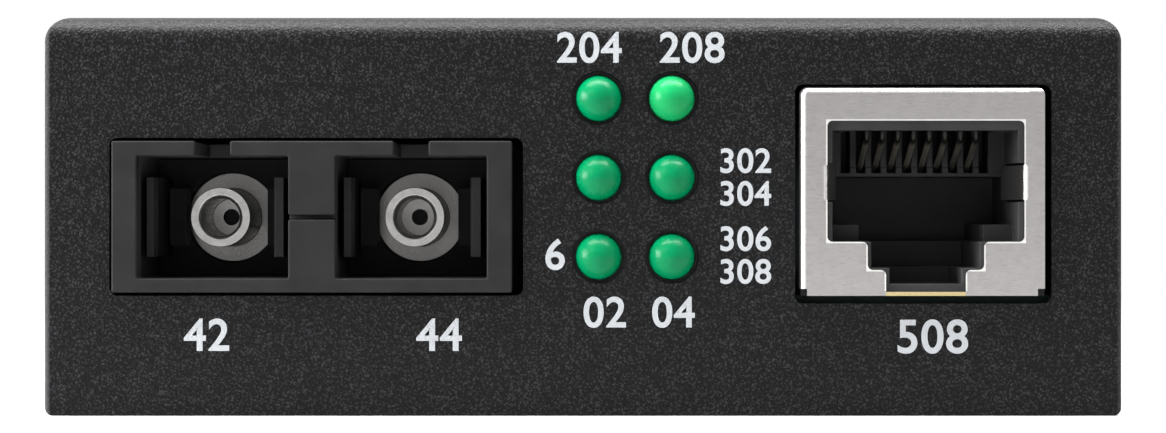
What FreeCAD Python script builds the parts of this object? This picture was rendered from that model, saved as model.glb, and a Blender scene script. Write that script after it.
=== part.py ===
import FreeCAD, Part
import math
import os

import Sketcher

# Fibre media converter: a folded steel box with a duplex SC optical port, six indicator lamps and one
# shielded RJ45 jack on its front, and a DC inlet at its rear.
# +X is right, -Y is the front, +Z is up. The origin is the middle of the underside. Millimetres.

SIZES = {
    # folded upper shell
    "shell_width": 69.0,
    "shell_depth": 94.0,
    "shell_height": 25.6,
    "sheet": 1.0,
    "bend_radius": 1.6,
    "seam": 0.15,
    "relief_radius": 0.6,
    "hole_corner": 0.5,
    "vent_count": 8,
    "vent_pitch": 4.2,
    "vent_wide": 1.8,
    "vent_tall": 9.0,
    "vent_centre": 14.2,
    "vent_inset": 43.0,
    "panel_corner": 0.5,
    "lug_wide": 8.0,
    "lug_reach": 6.0,
    "lug_front_inset": 18.0,
    "lug_rear_inset": 27.0,
    # base plate and cover screws
    "base_sheet": 1.2,
    "base_play": 0.1,
    "screw_shank": 1.25,
    "screw_head": 2.3,
    "screw_length": 5.0,
    "socket_flats": 1.6,
    "socket_deep": 0.8,
    # circuit board and what holds it
    "board_side_gap": 1.0,
    "board_end_gap": 0.7,
    "board_sheet": 1.6,
    "standoff_tall": 4.9,
    "standoff_flats": 5.0,
    "standoff_side_inset": 6.0,
    "standoff_rear_inset": 9.0,
    "standoff_jack_gap": 3.1,
    "standoff_front_inset": 17.0,
    "standoff_optic_gap": 7.0,
    "board_screw_shank": 1.5,
    "board_screw_flats": 5.0,
    "board_screw_tall": 1.6,
    "board_screw_length": 5.0,
    "hole_play": 0.1,
    "lead_through": 0.8,
    # optical transceiver
    "optic_inset": 4.35,
    "optic_width": 25.6,
    "optic_height": 9.7,
    "optic_length": 39.6,
    "optic_proud": 0.6,
    "optic_lift": 0.2,
    "optic_wall": 1.0,
    "port_pitch": 12.7,
    "port_wide": 9.7,
    "port_tall": 7.85,
    "port_floor": 0.9,
    "port_deep": 12.0,
    "port_back": 1.5,
    "key_wide": 2.26,
    "key_deep": 8.0,
    "optic_gap": 0.2,
    "optic_gap_right": 0.7,
    "optic_pin_count": 9,
    "parting": 0.3,
    "latch_out": 4.4,
    "latch_thick": 0.45,
    "latch_tall": 5.1,
    "latch_tip": 1.6,
    "latch_barb": 0.2,
    "latch_hook": 1.1,
    "latch_base": 1.2,
    "latch_play": 0.05,
    "guide_in": 2.7,
    "guide_thick": 1.1,
    "guide_tall": 3.8,
    "guide_long": 2.4,
    "ferrule_radius": 1.25,
    "barrel_radius": 1.95,
    "barrel_tip": 4.6,
    "barrel_bore_deep": 6.4,
    "barrel_mouth": 0.2,
    "barrel_flange": 3.0,
    "barrel_can_long": 6.0,
    "stub_start": 0.9,
    "stub_radius": 0.52,
    # indicator lamps
    "lamp_optic_gap": 5.55,
    "lamp_pitch_x": 4.7,
    "lamp_z": 10.2,
    "lamp_top": 5.24,
    "lamp_radius": 1.5,
    "lamp_rim": 1.85,
    "lamp_rim_thick": 1.0,
    "lamp_length": 5.3,
    "lamp_flat": 0.3,
    "lamp_proud": 0.9,
    "lamp_hole": 1.72,
    "lead_wide": 0.5,
    "lead_pitch": 2.54,
    "lead_setback": 2.0,
    "holder_margin": 2.0,
    "holder_gap": 0.1,
    # RJ45 jack
    "jack_inset": 4.975,
    "jack_width": 15.65,
    "jack_height": 13.35,
    "jack_length": 18.0,
    "jack_proud": 0.6,
    "jack_sheet": 0.25,
    "jack_bend": 0.5,
    "jack_shift": 0.22,
    "mouth_wide": 12.6,
    "mouth_top": 11.2,
    "mouth_floor": 3.45,
    "step_wide": 7.45,
    "step_floor": 1.65,
    "key_slot_wide": 5.1,
    "mouth_corner": 0.35,
    "plug_wide": 11.9,
    "plug_top": 10.6,
    "plug_deep": 13.0,
    "spring_tall": 2.2,
    "spring_z": 7.25,
    "jack_play": 0.05,
    "floor_strip": 3.0,
    "corner_notch": 0.45,
    "spring_notch_out": 0.35,
    "spring_notch_in": 0.5,
    "spring_bend": 0.2,
    "spring_reach": 1.25,
    "spring_return": 0.35,
    "spring_knee": 4.6,
    "spring_end": 6.2,
    "insert_back": 2.4,
    "insert_lip": 0.25,
    "comb_tall": 2.9,
    "comb_slot": 0.6,
    "ledge_wide": 1.9,
    "ledge_tall": 1.1,
    "ledge_start": 3.0,
    "jack_gap_side": 0.28,
    "jack_gap_right": 0.5,
    "jack_gap_top": 0.18,
    "contact_pitch": 1.016,
    "contact_wide": 0.4,
    "contact_thick": 0.3,
    "contact_run": 11.6,
    "contact_front": 3.4,
    "contact_hairpin": 0.75,
    "contact_tip": 8.4,
    "contact_drop": 3.5,
    "contact_cut": 0.35,
    "contact_rear": 1.1,
    "contact_stagger": 0.8,
    # DC inlet
    "inlet_x": 20.0,
    "inlet_width": 9.0,
    "inlet_tall": 11.0,
    "inlet_length": 13.5,
    "inlet_axis": 6.5,
    "inlet_collar": 3.9,
    "inlet_proud": 0.5,
    "inlet_bore": 3.1,
    "inlet_bore_deep": 9.5,
    "inlet_pin": 1.0,
    "inlet_pin_inset": 1.5,
    "tag_wide": 2.0,
    "tag_thick": 0.4,
    "leaf_wide": 2.4,
    "leaf_thick": 0.3,
    "leaf_root": 1.0,
    "leaf_tip": 2.2,
    "leaf_play": 0.4,
    "leaf_low": 0.5,
    "leaf_bow": 0.35,
    "leaf_end": 0.3,
    # electronics on the board; an inset is measured from the rear panel
    "chip_x": -3.0,
    "chip_y": 6.0,
    "chip_wide": 10.0,
    "chip_tall": 1.4,
    "chip_pitch": 1.27,
    "memory_x": 12.0,
    "memory_inset": 37.0,
    "regulator_x": -14.0,
    "regulator_inset": 20.0,
    "inductor_x": 8.0,
    "inductor_inset": 23.0,
    "inductor_half": 3.6,
    "inductor_bevel": 1.2,
    "inductor_tall": 3.6,
    "input_can_x": 4.0,
    "input_can_inset": 9.0,
    "output_can_x": -7.0,
    "output_can_inset": 11.0,
    "diode_x": 10.5,
    "diode_inset": 14.0,
    "transformer_gap": 7.5,
    "crystal_x": 2.5,
    "crystal_y": -10.0,
    "crystal_half": 5.1,
    "crystal_thick": 1.9,
    "crystal_tall": 3.5,
    "crystal_foot": 0.5,
    "row_pitch": 2.6,
    "leg_thick": 0.2,
    "leg_reach": 1.1,
    "leg_foot": 0.5,
    "package_lift": 0.1,
}

ROUND_SIDES = 16
LAMP_DOME_STATIONS = (0, 30, 60)


class Dim:
    """A length that carries its value and the spreadsheet expression that gives it."""

    def __init__(self, value, text):
        self.value = value
        self.text = text

    def __add__(self, other):
        return Dim(self.value + num(other), "(%s + %s)" % (self.text, text(other)))

    def __radd__(self, other):
        return Dim(num(other) + self.value, "(%s + %s)" % (text(other), self.text))

    def __sub__(self, other):
        return Dim(self.value - num(other), "(%s - %s)" % (self.text, text(other)))

    def __rsub__(self, other):
        return Dim(num(other) - self.value, "(%s - %s)" % (text(other), self.text))

    def __mul__(self, other):
        return Dim(self.value * num(other), "(%s * %s)" % (self.text, text(other)))

    def __rmul__(self, other):
        return Dim(num(other) * self.value, "(%s * %s)" % (text(other), self.text))

    def __truediv__(self, other):
        return Dim(self.value / num(other), "(%s / %s)" % (self.text, text(other)))

    def __neg__(self):
        return Dim(-self.value, "(0 - %s)" % self.text)


def num(value):
    return value.value if isinstance(value, Dim) else float(value)


def text(value):
    return value.text if isinstance(value, Dim) else repr(float(value))


def make_sheet(doc):
    """Write the driving sizes into the spreadsheet and return them as lengths."""
    sheet = doc.addObject("Spreadsheet::Sheet", "Sizes")
    for row, (name, value) in enumerate(SIZES.items(), start=1):
        sheet.set("A%d" % row, name)
        sheet.set("B%d" % row, str(value))
        sheet.setAlias("B%d" % row, name)
    doc.recompute()
    return {name: Dim(float(value), "Sizes.%s" % name) for name, value in SIZES.items()}


doc = FreeCAD.newDocument("media_converter")
size = make_sheet(doc)
nodes = []

# Places that several pieces share.
front = -size["shell_depth"] / 2
rear = size["shell_depth"] / 2
side = size["shell_width"] / 2
ceiling = size["shell_height"] - size["sheet"]
board_floor = size["base_sheet"] + size["standoff_tall"]
board_top = board_floor + size["board_sheet"]
board_front = front + size["sheet"] + size["board_end_gap"]
board_side = side - size["sheet"] - size["board_side_gap"]
optic_face = front - size["optic_proud"]
optic_floor = board_top + size["optic_lift"]
optic_x = -side + size["optic_inset"] + size["optic_width"] / 2
optic_rear = optic_face + size["optic_length"]
port_axis = size["port_floor"] + size["port_tall"] / 2
jack_face = front - size["jack_proud"]
jack_x = side - size["jack_inset"] - size["jack_width"] / 2
mouth_x = jack_x + size["jack_shift"]
lamp_base = front - size["lamp_proud"] + size["lamp_length"]
inlet_face = rear + size["inlet_proud"]
standoff_x = side - size["standoff_side_inset"]
standoff_spots = [(jack_x - size["jack_width"] / 2 - size["standoff_jack_gap"],
                   front + size["standoff_front_inset"]),
                  (-standoff_x, optic_rear + size["standoff_optic_gap"]),
                  (-standoff_x, rear - size["standoff_rear_inset"]),
                  (standoff_x, rear - size["standoff_rear_inset"])]
lug_rows = (front + size["lug_front_inset"], rear - size["lug_rear_inset"])
lug_spots = [(sx, y) for sx in (-1, 1) for y in lug_rows]
lamp_x = optic_x + size["optic_width"] / 2 + size["lamp_optic_gap"]
lamp_pitch_z = (size["shell_height"] - size["lamp_top"] - size["lamp_z"]) / 2
lamp_spots = [(lamp_x + col * size["lamp_pitch_x"], size["lamp_z"] + row * lamp_pitch_z, row)
              for row in range(3) for col in range(2)]


# ---------------------------------------------------------------- helpers: sheet-driven features

def keep(label, obj):
    """Name a finished piece and list it for export."""
    obj.Label = label
    nodes.append(obj)
    return obj


def bind(obj, prop, value):
    if isinstance(value, Dim):
        obj.setExpression(prop, value.text)
    elif "." in prop:
        obj.setExpression(prop, text(value))
    else:
        setattr(obj, prop, num(value))


def place(obj, x=0, y=0, z=0, turn=None):
    """Put an object at a place given by sheet lengths, turned by (axis, degrees)."""
    if turn:
        axis, angle = turn
        spin = FreeCAD.Rotation(FreeCAD.Vector(*axis), angle)
        obj.Placement = FreeCAD.Placement(FreeCAD.Vector(0, 0, 0), spin)
    for letter, value in (("x", x), ("y", y), ("z", z)):
        bind(obj, "Placement.Base." + letter, value)
    return obj


def new_body(label):
    return keep(label, doc.addObject("PartDesign::Body", label))


def new_sketch(body, plane, offset=0):
    """A sketch on one of the body's own origin planes, moved along the plane's normal."""
    sketch = body.newObject("Sketcher::SketchObject", body.Name + "_sketch")
    origin_plane = next(f for f in body.Origin.OriginFeatures if f.Role == plane)
    sketch.AttachmentSupport = [(origin_plane, "")]
    sketch.MapMode = "FlatFace"
    bind(sketch, "AttachmentOffset.Base.z", offset)
    return sketch


def constrain(sketch, rules):
    """Add constraints in one go. A rule is (kind, references..., size), and a sheet length stays bound."""
    made = []
    for kind, *where in rules:
        if kind in ("DistanceX", "DistanceY", "Radius"):
            made.append(Sketcher.Constraint(kind, *where[:-1], num(where[-1])))
        else:
            made.append(Sketcher.Constraint(kind, *where))
    numbers = sketch.addConstraint(made)
    for number, rule in zip(numbers, rules):
        if isinstance(rule[-1], Dim):
            sketch.setExpression("Constraints[%d]" % number, rule[-1].text)


def point(x, y):
    return FreeCAD.Vector(num(x), num(y), 0)


def outline(sketch, points):
    """Closed outline. A point is (x, y), or (x, y, r) where an arc of signed radius r leads to it."""
    count = len(points)
    curves = []
    for i in range(count):
        begin, end = points[i], points[(i + 1) % count]
        if len(end) == 3:
            curves.append(arc_between(begin, end, num(end[2])))
        else:
            curves.append(Part.LineSegment(point(*begin[:2]), point(*end[:2])))
    lines = sketch.addGeometry(curves, False)
    ends = points[1:] + points[:1]
    backward = [len(end) == 3 and num(end[2]) < 0 for end in ends]
    rules = []
    for i in range(count):
        after = (i + 1) % count
        start = 2 if backward[i] else 1
        rules.append(("Coincident", lines[i], 3 - start, lines[after], 2 if backward[after] else 1))
        rules.append(("DistanceX", -1, 1, lines[i], start, points[i][0]))
        rules.append(("DistanceY", -1, 1, lines[i], start, points[i][1]))
        if len(points[after]) == 3:
            radius = points[after][2]
            rules.append(("Radius", lines[i], -radius if backward[i] else radius))
    constrain(sketch, rules)


def arc_between(start, end, radius):
    """Short arc from start to end, anticlockwise where the radius is positive."""
    a, b = point(*start[:2]), point(*end[:2])
    chord = b - a
    half = chord.Length / 2
    reach = math.sqrt(max(radius * radius - half * half, 0.0)) * (1 if radius > 0 else -1)
    centre = (a + b) * 0.5 + FreeCAD.Vector(-chord.y, chord.x, 0) * (reach / chord.Length)
    begin, finish = ((a, b) if radius > 0 else (b, a))
    ring = Part.Circle(centre, FreeCAD.Vector(0, 0, 1), abs(radius))
    angles = [math.atan2(p.y - centre.y, p.x - centre.x) for p in (begin, finish)]
    return Part.ArcOfCircle(ring, *angles)


def rounded(sketch, corners):
    """Closed outline of level and upright runs. A corner is (x, y, r), with r of 0 for a sharp one."""
    count = len(corners)
    flat = [point(x, y) for x, y, _ in corners]
    radii = [num(r) for _, _, r in corners]

    def trimmed(i, j):
        return flat[i] + (flat[j] - flat[i]).normalize() * radii[i]

    curves = [Part.LineSegment(trimmed(i, (i + 1) % count), trimmed((i + 1) % count, i))
              for i in range(count)]
    bends = {}
    for i in range(count):
        if radii[i]:
            a, b = trimmed(i, i - 1), trimmed(i, (i + 1) % count)
            left = (a - flat[i]).cross(b - flat[i]).z < 0
            bends[i] = (len(curves), left)
            curves.append(arc_between(a, b, radii[i] if left else -radii[i]))
    lines = sketch.addGeometry(curves, False)
    rules = []
    for i in range(count):
        level = abs(flat[i].y - flat[(i + 1) % count].y) < 1e-6
        rules.append(("Horizontal" if level else "Vertical", lines[i]))
        axis, value = ("DistanceY", corners[i][1]) if level else ("DistanceX", corners[i][0])
        rules.append((axis, -1, 1, lines[i], 1, value))
        before = lines[(i - 1) % count]
        if i not in bends:
            rules.append(("Coincident", before, 2, lines[i], 1))
            continue
        arc, left = lines[bends[i][0]], bends[i][1]
        begin, finish = (1, 2) if left else (2, 1)
        rules.append(("Tangent", before, 2, arc, begin))
        rules.append(("Tangent", arc, finish, lines[i], 1))
        rules.append(("Radius", arc, corners[i][2]))
    constrain(sketch, rules)


def rectangle(sketch, x0, x1, y0, y1, radius=0):
    rounded(sketch, [(x0, y0, radius), (x1, y0, radius), (x1, y1, radius), (x0, y1, radius)])


def hexagon(sketch, x, y, flats):
    """Six-sided hole across the given flats, with a corner on the X axis as Part's prism has."""
    reach = flats / math.sqrt(3)
    outline(sketch, [(x + reach, y), (x + reach / 2, y + flats / 2), (x - reach / 2, y + flats / 2),
                     (x - reach, y), (x - reach / 2, y - flats / 2), (x + reach / 2, y - flats / 2)])


def circle(sketch, x, y, radius):
    ring = sketch.addGeometry(Part.Circle(point(x, y), FreeCAD.Vector(0, 0, 1), num(radius)), False)
    constrain(sketch, [("DistanceX", -1, 1, ring, 3, x), ("DistanceY", -1, 1, ring, 3, y),
                       ("Radius", ring, radius)])


def extrude(body, sketch, length, kind="Pad", reverse=False, middle=False):
    """Pad or pocket a sketch, and make sure that it changed the body."""
    before = body.Shape.Volume if body.Tip else 0.0
    feature = body.newObject("PartDesign::" + kind, body.Name + "_" + kind.lower())
    feature.Profile = sketch
    bind(feature, "Length", length)
    feature.Reversed = reverse
    feature.Midplane = middle
    doc.recompute()
    change = body.Shape.Volume - before
    if (change <= 0) if kind == "Pad" else (change >= 0):
        raise RuntimeError("%s changed nothing" % feature.Name)
    return feature


def pad(body, sketch, length, **options):
    return extrude(body, sketch, length, "Pad", **options)


def pocket(body, sketch, length, **options):
    return extrude(body, sketch, length, "Pocket", **options)


def soften(body, test, radius, kind="Fillet"):
    """Fillet or chamfer the edges of the body that a test picks."""
    picked = ["Edge%d" % (i + 1) for i, edge in enumerate(body.Shape.Edges) if test(edge)]
    if not picked:
        raise RuntimeError("no edge to soften on " + body.Name)
    base = body.Tip
    feature = body.newObject("PartDesign::" + kind, body.Name + "_" + kind.lower())
    feature.Base = (base, picked)
    bind(feature, "Radius" if kind == "Fillet" else "Size", radius)
    doc.recompute()
    return feature


def near(a, b):
    return abs(a - num(b)) < 1e-4


def lies(edge, **where):
    """True where the whole edge lies at the given x, y or z."""
    box = edge.BoundBox
    spans = {"x": (box.XMin, box.XMax), "y": (box.YMin, box.YMax), "z": (box.ZMin, box.ZMax)}
    return all(near(spans[k][0], v) and near(spans[k][1], v) for k, v in where.items())


def turned(label, points):
    """A body turned about its own Z axis from an (r, z) profile."""
    body = new_body(label)
    sketch = new_sketch(body, "XZ_Plane")
    outline(sketch, points)
    feature = body.newObject("PartDesign::Revolution", body.Name + "_turn")
    feature.Profile = sketch
    feature.ReferenceAxis = (sketch, ["V_Axis"])
    feature.Angle = 360.0
    doc.recompute()
    return body


def block(name, x0, x1, y0, y1, z0, z1):
    """A Part box between six sheet lengths."""
    box = doc.addObject("Part::Box", name)
    bind(box, "Length", x1 - x0)
    bind(box, "Width", y1 - y0)
    bind(box, "Height", z1 - z0)
    return place(box, x0, y0, z0)


def rod(name, radius, length, x, y, z, turn=None):
    cylinder = doc.addObject("Part::Cylinder", name)
    bind(cylinder, "Radius", radius)
    bind(cylinder, "Height", length)
    return place(cylinder, x, y, z, turn)


def prism(name, flats, height, x, y, z):
    """A Part hexagonal prism across the given flats."""
    six = doc.addObject("Part::Prism", name)
    six.Polygon = 6
    bind(six, "Circumradius", flats / math.sqrt(3))
    bind(six, "Height", height)
    return place(six, x, y, z)


def facet_turned(name, rings, x, y, z, turn=None):
    """A many-sided turned solid through rings of (radius, height), for small round pieces that repeat."""
    wires = []
    for radius, height in rings:
        angles = [2 * math.pi * i / ROUND_SIDES for i in range(ROUND_SIDES + 1)]
        wires.append([FreeCAD.Vector(num(radius) * math.cos(a), num(radius) * math.sin(a), num(height))
                      for a in angles])
    faces = [Part.Face(Part.makePolygon(wires[0])), Part.Face(Part.makePolygon(wires[-1]))]
    for low, high in zip(wires, wires[1:]):
        for i in range(ROUND_SIDES):
            faces.append(Part.Face(Part.makePolygon([low[i], low[i + 1], high[i + 1], high[i], low[i]])))
    shell = Part.Shell(faces)
    shell.sewShape()
    solid = doc.addObject("Part::Feature", name)
    solid.Shape = Part.Solid(shell)
    return place(solid, x, y, z, turn)


def cut(name, base, tool):
    result = doc.addObject("Part::Cut", name)
    result.Base = base
    result.Tool = tool
    return result


def fuse(name, parts):
    result = doc.addObject("Part::MultiFuse", name)
    result.Shapes = parts
    return result


def group(label, parts):
    result = doc.addObject("Part::Compound", label)
    result.Links = parts
    return keep(label, result)


def bent_strip(path, thick, wide):
    """A strip bent along (y, z, r) points in the YZ plane, with an arc of radius r, or a mitre for 0."""
    runs = [FreeCAD.Vector(0, num(p[0]), num(p[1])) for p in path]
    radii = [num(p[2]) for p in path]
    half = num(thick) / 2
    sides = ([], [])
    for i, point in enumerate(runs):
        along_in = (point - runs[i - 1]).normalize() if i else None
        along_out = (runs[i + 1] - point).normalize() if i + 1 < len(runs) else None
        if along_in is None or along_out is None:
            along = along_in or along_out
            across = FreeCAD.Vector(0, -along.z, along.y)
            for sign, edge in zip((1, -1), sides):
                edge.append((point + across * (sign * half),))
            continue
        turn = along_in.getAngle(along_out)
        if not radii[i]:
            across = (along_in + along_out).normalize()
            mitre = FreeCAD.Vector(0, -across.z, across.y) * (half / math.cos(turn / 2))
            for sign, edge in zip((1, -1), sides):
                edge.append((point + mitre * sign,))
            continue
        left = along_in.y * along_out.z - along_in.z * along_out.y > 0
        reach = radii[i] * math.tan(turn / 2)
        begin, finish = point - along_in * reach, point + along_out * reach
        across_in = FreeCAD.Vector(0, -along_in.z, along_in.y)
        across_out = FreeCAD.Vector(0, -along_out.z, along_out.y)
        centre = begin + across_in * (radii[i] if left else -radii[i])
        bisector = ((begin + finish) * 0.5 - centre).normalize()
        for sign, edge in zip((1, -1), sides):
            bend = radii[i] - sign * half * (1 if left else -1)
            edge.append((begin + across_in * (sign * half), centre + bisector * bend,
                         finish + across_out * (sign * half)))
    stations = sides[0] + [tuple(reversed(s)) for s in reversed(sides[1])]
    edges = []
    for i, station in enumerate(stations):
        if len(station) == 3:
            edges.append(Part.Arc(*station).toShape())
        edges.append(Part.LineSegment(station[-1], stations[(i + 1) % len(stations)][0]).toShape())
    face = Part.Face(Part.Wire(edges))
    face.translate(FreeCAD.Vector(-num(wide) / 2, 0, 0))
    return face.extrude(FreeCAD.Vector(num(wide), 0, 0))


def shaped(label, shape, x=0, y=0, z=0):
    """A piece whose shape is worked out from the sheet's lengths."""
    feature = doc.addObject("Part::Feature", label)
    feature.Shape = shape
    feature.Placement = FreeCAD.Placement(FreeCAD.Vector(num(x), num(y), num(z)), FreeCAD.Rotation())
    return keep(label, feature)


# ---------------------------------------------------------------- enclosure

def upper_shell():
    """Top, front, rear and sides folded from one sheet, with butt seams down the corners."""
    s = size
    body = new_body("upper_shell")
    sheet = s["sheet"]
    sketch = new_sketch(body, "XY_Plane")
    rectangle(sketch, -side, side, front, rear)
    pad(body, sketch, s["shell_height"])
    soften(body, lambda e: lies(e, z=s["shell_height"]), s["bend_radius"])
    sketch = new_sketch(body, "XY_Plane")
    rectangle(sketch, -side + sheet, side - sheet, front + sheet, rear - sheet)
    pocket(body, sketch, ceiling, reverse=True)
    soften(body, lambda e: lies(e, z=ceiling), s["bend_radius"] - sheet)

    # openings of the front panel
    sketch = new_sketch(body, "XZ_Plane", -front)
    gap = s["optic_gap"]
    rectangle(sketch, optic_x - s["optic_width"] / 2 - gap,
              optic_x + s["optic_width"] / 2 + s["optic_gap_right"],
              optic_floor - gap, optic_floor + s["optic_height"] + gap, s["hole_corner"])
    rectangle(sketch, jack_x - s["jack_width"] / 2 - s["jack_gap_side"],
              jack_x + s["jack_width"] / 2 + s["jack_gap_right"],
              board_top - s["jack_gap_right"], board_top + s["jack_height"] + s["jack_gap_top"],
              s["hole_corner"])
    for x, z, _ in lamp_spots:
        circle(sketch, x, z, s["lamp_hole"])
    pocket(body, sketch, sheet * 2)

    # opening of the rear panel
    sketch = new_sketch(body, "XZ_Plane", -rear)
    circle(sketch, s["inlet_x"], board_top + s["inlet_axis"], s["inlet_collar"] + s["hole_play"])
    pocket(body, sketch, sheet * 2, reverse=True)

    # vent slots of both sides
    sketch = new_sketch(body, "YZ_Plane")
    for i in range(int(SIZES["vent_count"])):
        middle = rear - s["vent_inset"] + i * s["vent_pitch"]
        rectangle(sketch, middle - s["vent_wide"] / 2, middle + s["vent_wide"] / 2,
                  s["vent_centre"] - s["vent_tall"] / 2, s["vent_centre"] + s["vent_tall"] / 2)
    pocket(body, sketch, s["shell_width"] * 2, middle=True)

    # butt seams at the corners, and the notches that the lugs leave in the side walls
    sketch = new_sketch(body, "YZ_Plane")
    seam_top = s["shell_height"] - s["bend_radius"] - s["relief_radius"]
    for edge, sign in ((front, 1), (rear, -1)):
        inner = edge + sheet * sign
        outer = inner + s["seam"] * sign
        rectangle(sketch, *sorted((inner, outer), key=num), -1, seam_top)
    for y in lug_rows:
        rectangle(sketch, y - s["lug_wide"] / 2, y + s["lug_wide"] / 2, -1, s["base_sheet"])
    pocket(body, sketch, s["shell_width"] * 2, middle=True)
    soften(body, lambda e: (lies(e, x=side, z=0) or lies(e, x=-side, z=0)) and near(e.Length, sheet),
           s["panel_corner"])

    # lugs turned in from the side walls, tapped for the cover screws
    sketch = new_sketch(body, "XY_Plane", s["base_sheet"])
    for sx, y in lug_spots:
        ends = sorted((sx * side, sx * (side - sheet - s["lug_reach"])), key=num)
        rectangle(sketch, ends[0], ends[1], y - s["lug_wide"] / 2, y + s["lug_wide"] / 2)
    pad(body, sketch, sheet)
    sketch = new_sketch(body, "XY_Plane", s["base_sheet"])
    for sx, y in lug_spots:
        circle(sketch, sx * lug_screw_x(), y, s["screw_shank"])
    pocket(body, sketch, sheet, reverse=True)


def lug_screw_x():
    return side - size["sheet"] - size["lug_reach"] / 2


def base_plate():
    """Flat plate that closes the box, with ears that fill the notches under the lugs."""
    s = size
    body = new_body("base_plate")
    play = s["base_play"]
    edge = side - s["sheet"] - play
    end = rear - s["sheet"] - play
    ear = s["lug_wide"] / 2 - play
    corners = []
    for y in lug_rows:
        corners += [(edge, y - ear), (side, y - ear), (side, y + ear), (edge, y + ear)]
    right = [(edge, -end)] + corners + [(edge, end)]
    left = [(-x, y) for x, y in reversed(right)]
    sketch = new_sketch(body, "XY_Plane")
    rounded(sketch, [(x, y, 0) for x, y in right + left])
    for sx, y in lug_spots:
        circle(sketch, sx * lug_screw_x(), y, s["screw_shank"] + play)
    for x, y in standoff_spots:
        hexagon(sketch, x, y, s["standoff_flats"])
    pad(body, sketch, s["base_sheet"])
    soften(body, lambda e: lies(e, z=0) and near(e.Length, 2 * math.pi * (s["screw_shank"] + play)),
           s["screw_head"] - s["screw_shank"], "Chamfer")


def cover_screws():
    """Countersunk screws with a hex socket, up through the base plate into the lugs."""
    s = size
    head_tall = s["screw_head"] - s["screw_shank"]
    parts = []
    for i, (sx, y) in enumerate(lug_spots):
        name = "cover_screw_%d" % (i + 1)
        x = sx * lug_screw_x()
        blank = facet_turned(name + "_blank", [(s["screw_head"], 0), (s["screw_shank"], head_tall),
                                               (s["screw_shank"], s["screw_length"])], x, y, 0)
        socket = prism(name + "_socket", s["socket_flats"], s["socket_deep"], x, y, 0)
        parts.append(cut(name, blank, socket))
    group("cover_screws", parts)


def board_standoffs():
    """Hex standoffs pressed into hex holes of the base plate, bored from above for the board screws."""
    s = size
    parts = []
    for i, (x, y) in enumerate(standoff_spots):
        name = "standoff_%d" % (i + 1)
        blank = prism(name + "_hex", s["standoff_flats"], board_floor, x, y, 0)
        shank = s["board_screw_shank"]
        bore = facet_turned(name + "_bore", [(shank, 0), (shank, s["standoff_tall"])], x, y, s["base_sheet"])
        parts.append(cut(name, blank, bore))
    group("board_standoffs", parts)


def board_screws():
    """Hex-head screws that hold the board on its standoffs."""
    s = size
    parts = []
    for i, (x, y) in enumerate(standoff_spots):
        name = "board_screw_%d" % (i + 1)
        head = prism(name + "_head", s["board_screw_flats"], s["board_screw_tall"], x, y, board_top)
        shank = s["board_screw_shank"]
        rings = [(shank, 0), (shank, s["board_screw_length"] + s["board_screw_tall"] / 2)]
        stem = facet_turned(name + "_stem", rings, x, y, board_top - s["board_screw_length"])
        parts.append(fuse(name, [head, stem]))
    group("board_screws", parts)


# ---------------------------------------------------------------- optical transceiver

def optic_ports():
    return [optic_x + sign * size["port_pitch"] / 2 for sign in (-1, 1)]


def transceiver_housing():
    """Moulded housing: two SC ports in the nose, and a hollow behind them that is open below."""
    s = size
    body = new_body("transceiver_housing")
    tall, half = s["optic_height"], s["optic_width"] / 2
    sketch = new_sketch(body, "XZ_Plane")
    rectangle(sketch, -half, half, 0, tall)
    pad(body, sketch, s["optic_length"], reverse=True)
    sketch = new_sketch(body, "XZ_Plane")
    for sign in (-1, 1):
        x = sign * s["port_pitch"] / 2
        rectangle(sketch, x - s["port_wide"] / 2, x + s["port_wide"] / 2,
                  s["port_floor"], s["port_floor"] + s["port_tall"])
    pocket(body, sketch, s["port_deep"])
    sketch = new_sketch(body, "XZ_Plane")
    for sign in (-1, 1):
        x = sign * s["port_pitch"] / 2
        rectangle(sketch, x - s["key_wide"] / 2, x + s["key_wide"] / 2,
                  s["port_floor"] + s["port_tall"] / 2, tall + 1)
    pocket(body, sketch, s["key_deep"])
    # parting line across the wall between the ports
    sketch = new_sketch(body, "XZ_Plane")
    rib = (s["port_pitch"] - s["port_wide"]) / 2
    rectangle(sketch, -rib, rib, port_axis - s["parting"] / 2, port_axis + s["parting"] / 2)
    pocket(body, sketch, s["optic_wall"])
    # hollow behind the ports, and the holes that the barrels pass through
    deep = s["port_deep"] + s["port_back"]
    sketch = new_sketch(body, "XY_Plane")
    wall = s["optic_wall"]
    rectangle(sketch, -half + wall, half - wall, deep, s["optic_length"] - wall)
    pocket(body, sketch, tall - s["optic_wall"], reverse=True)
    sketch = new_sketch(body, "XZ_Plane", -s["port_deep"])
    for sign in (-1, 1):
        circle(sketch, sign * s["port_pitch"] / 2, port_axis, s["barrel_flange"])
    pocket(body, sketch, s["port_back"])
    place(body, optic_x, optic_face, optic_floor)


def transceiver_cover():
    """Flat cover that closes the hollow from below and stands on the board."""
    s = size
    x0 = optic_x - s["optic_width"] / 2 + s["optic_wall"]
    y0 = optic_face + s["port_deep"] + s["port_back"]
    keep("transceiver_cover", block("transceiver_cover", x0, x0 + s["optic_width"] - s["optic_wall"] * 2,
                                    y0, pins_y() - s["optic_wall"], board_top,
                                    optic_floor + s["optic_wall"]))


def barrel_end():
    """Depth at which the barrel's can ends, behind the face of the nose."""
    s = size
    return s["port_deep"] + s["port_back"] + s["barrel_can_long"]


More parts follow.
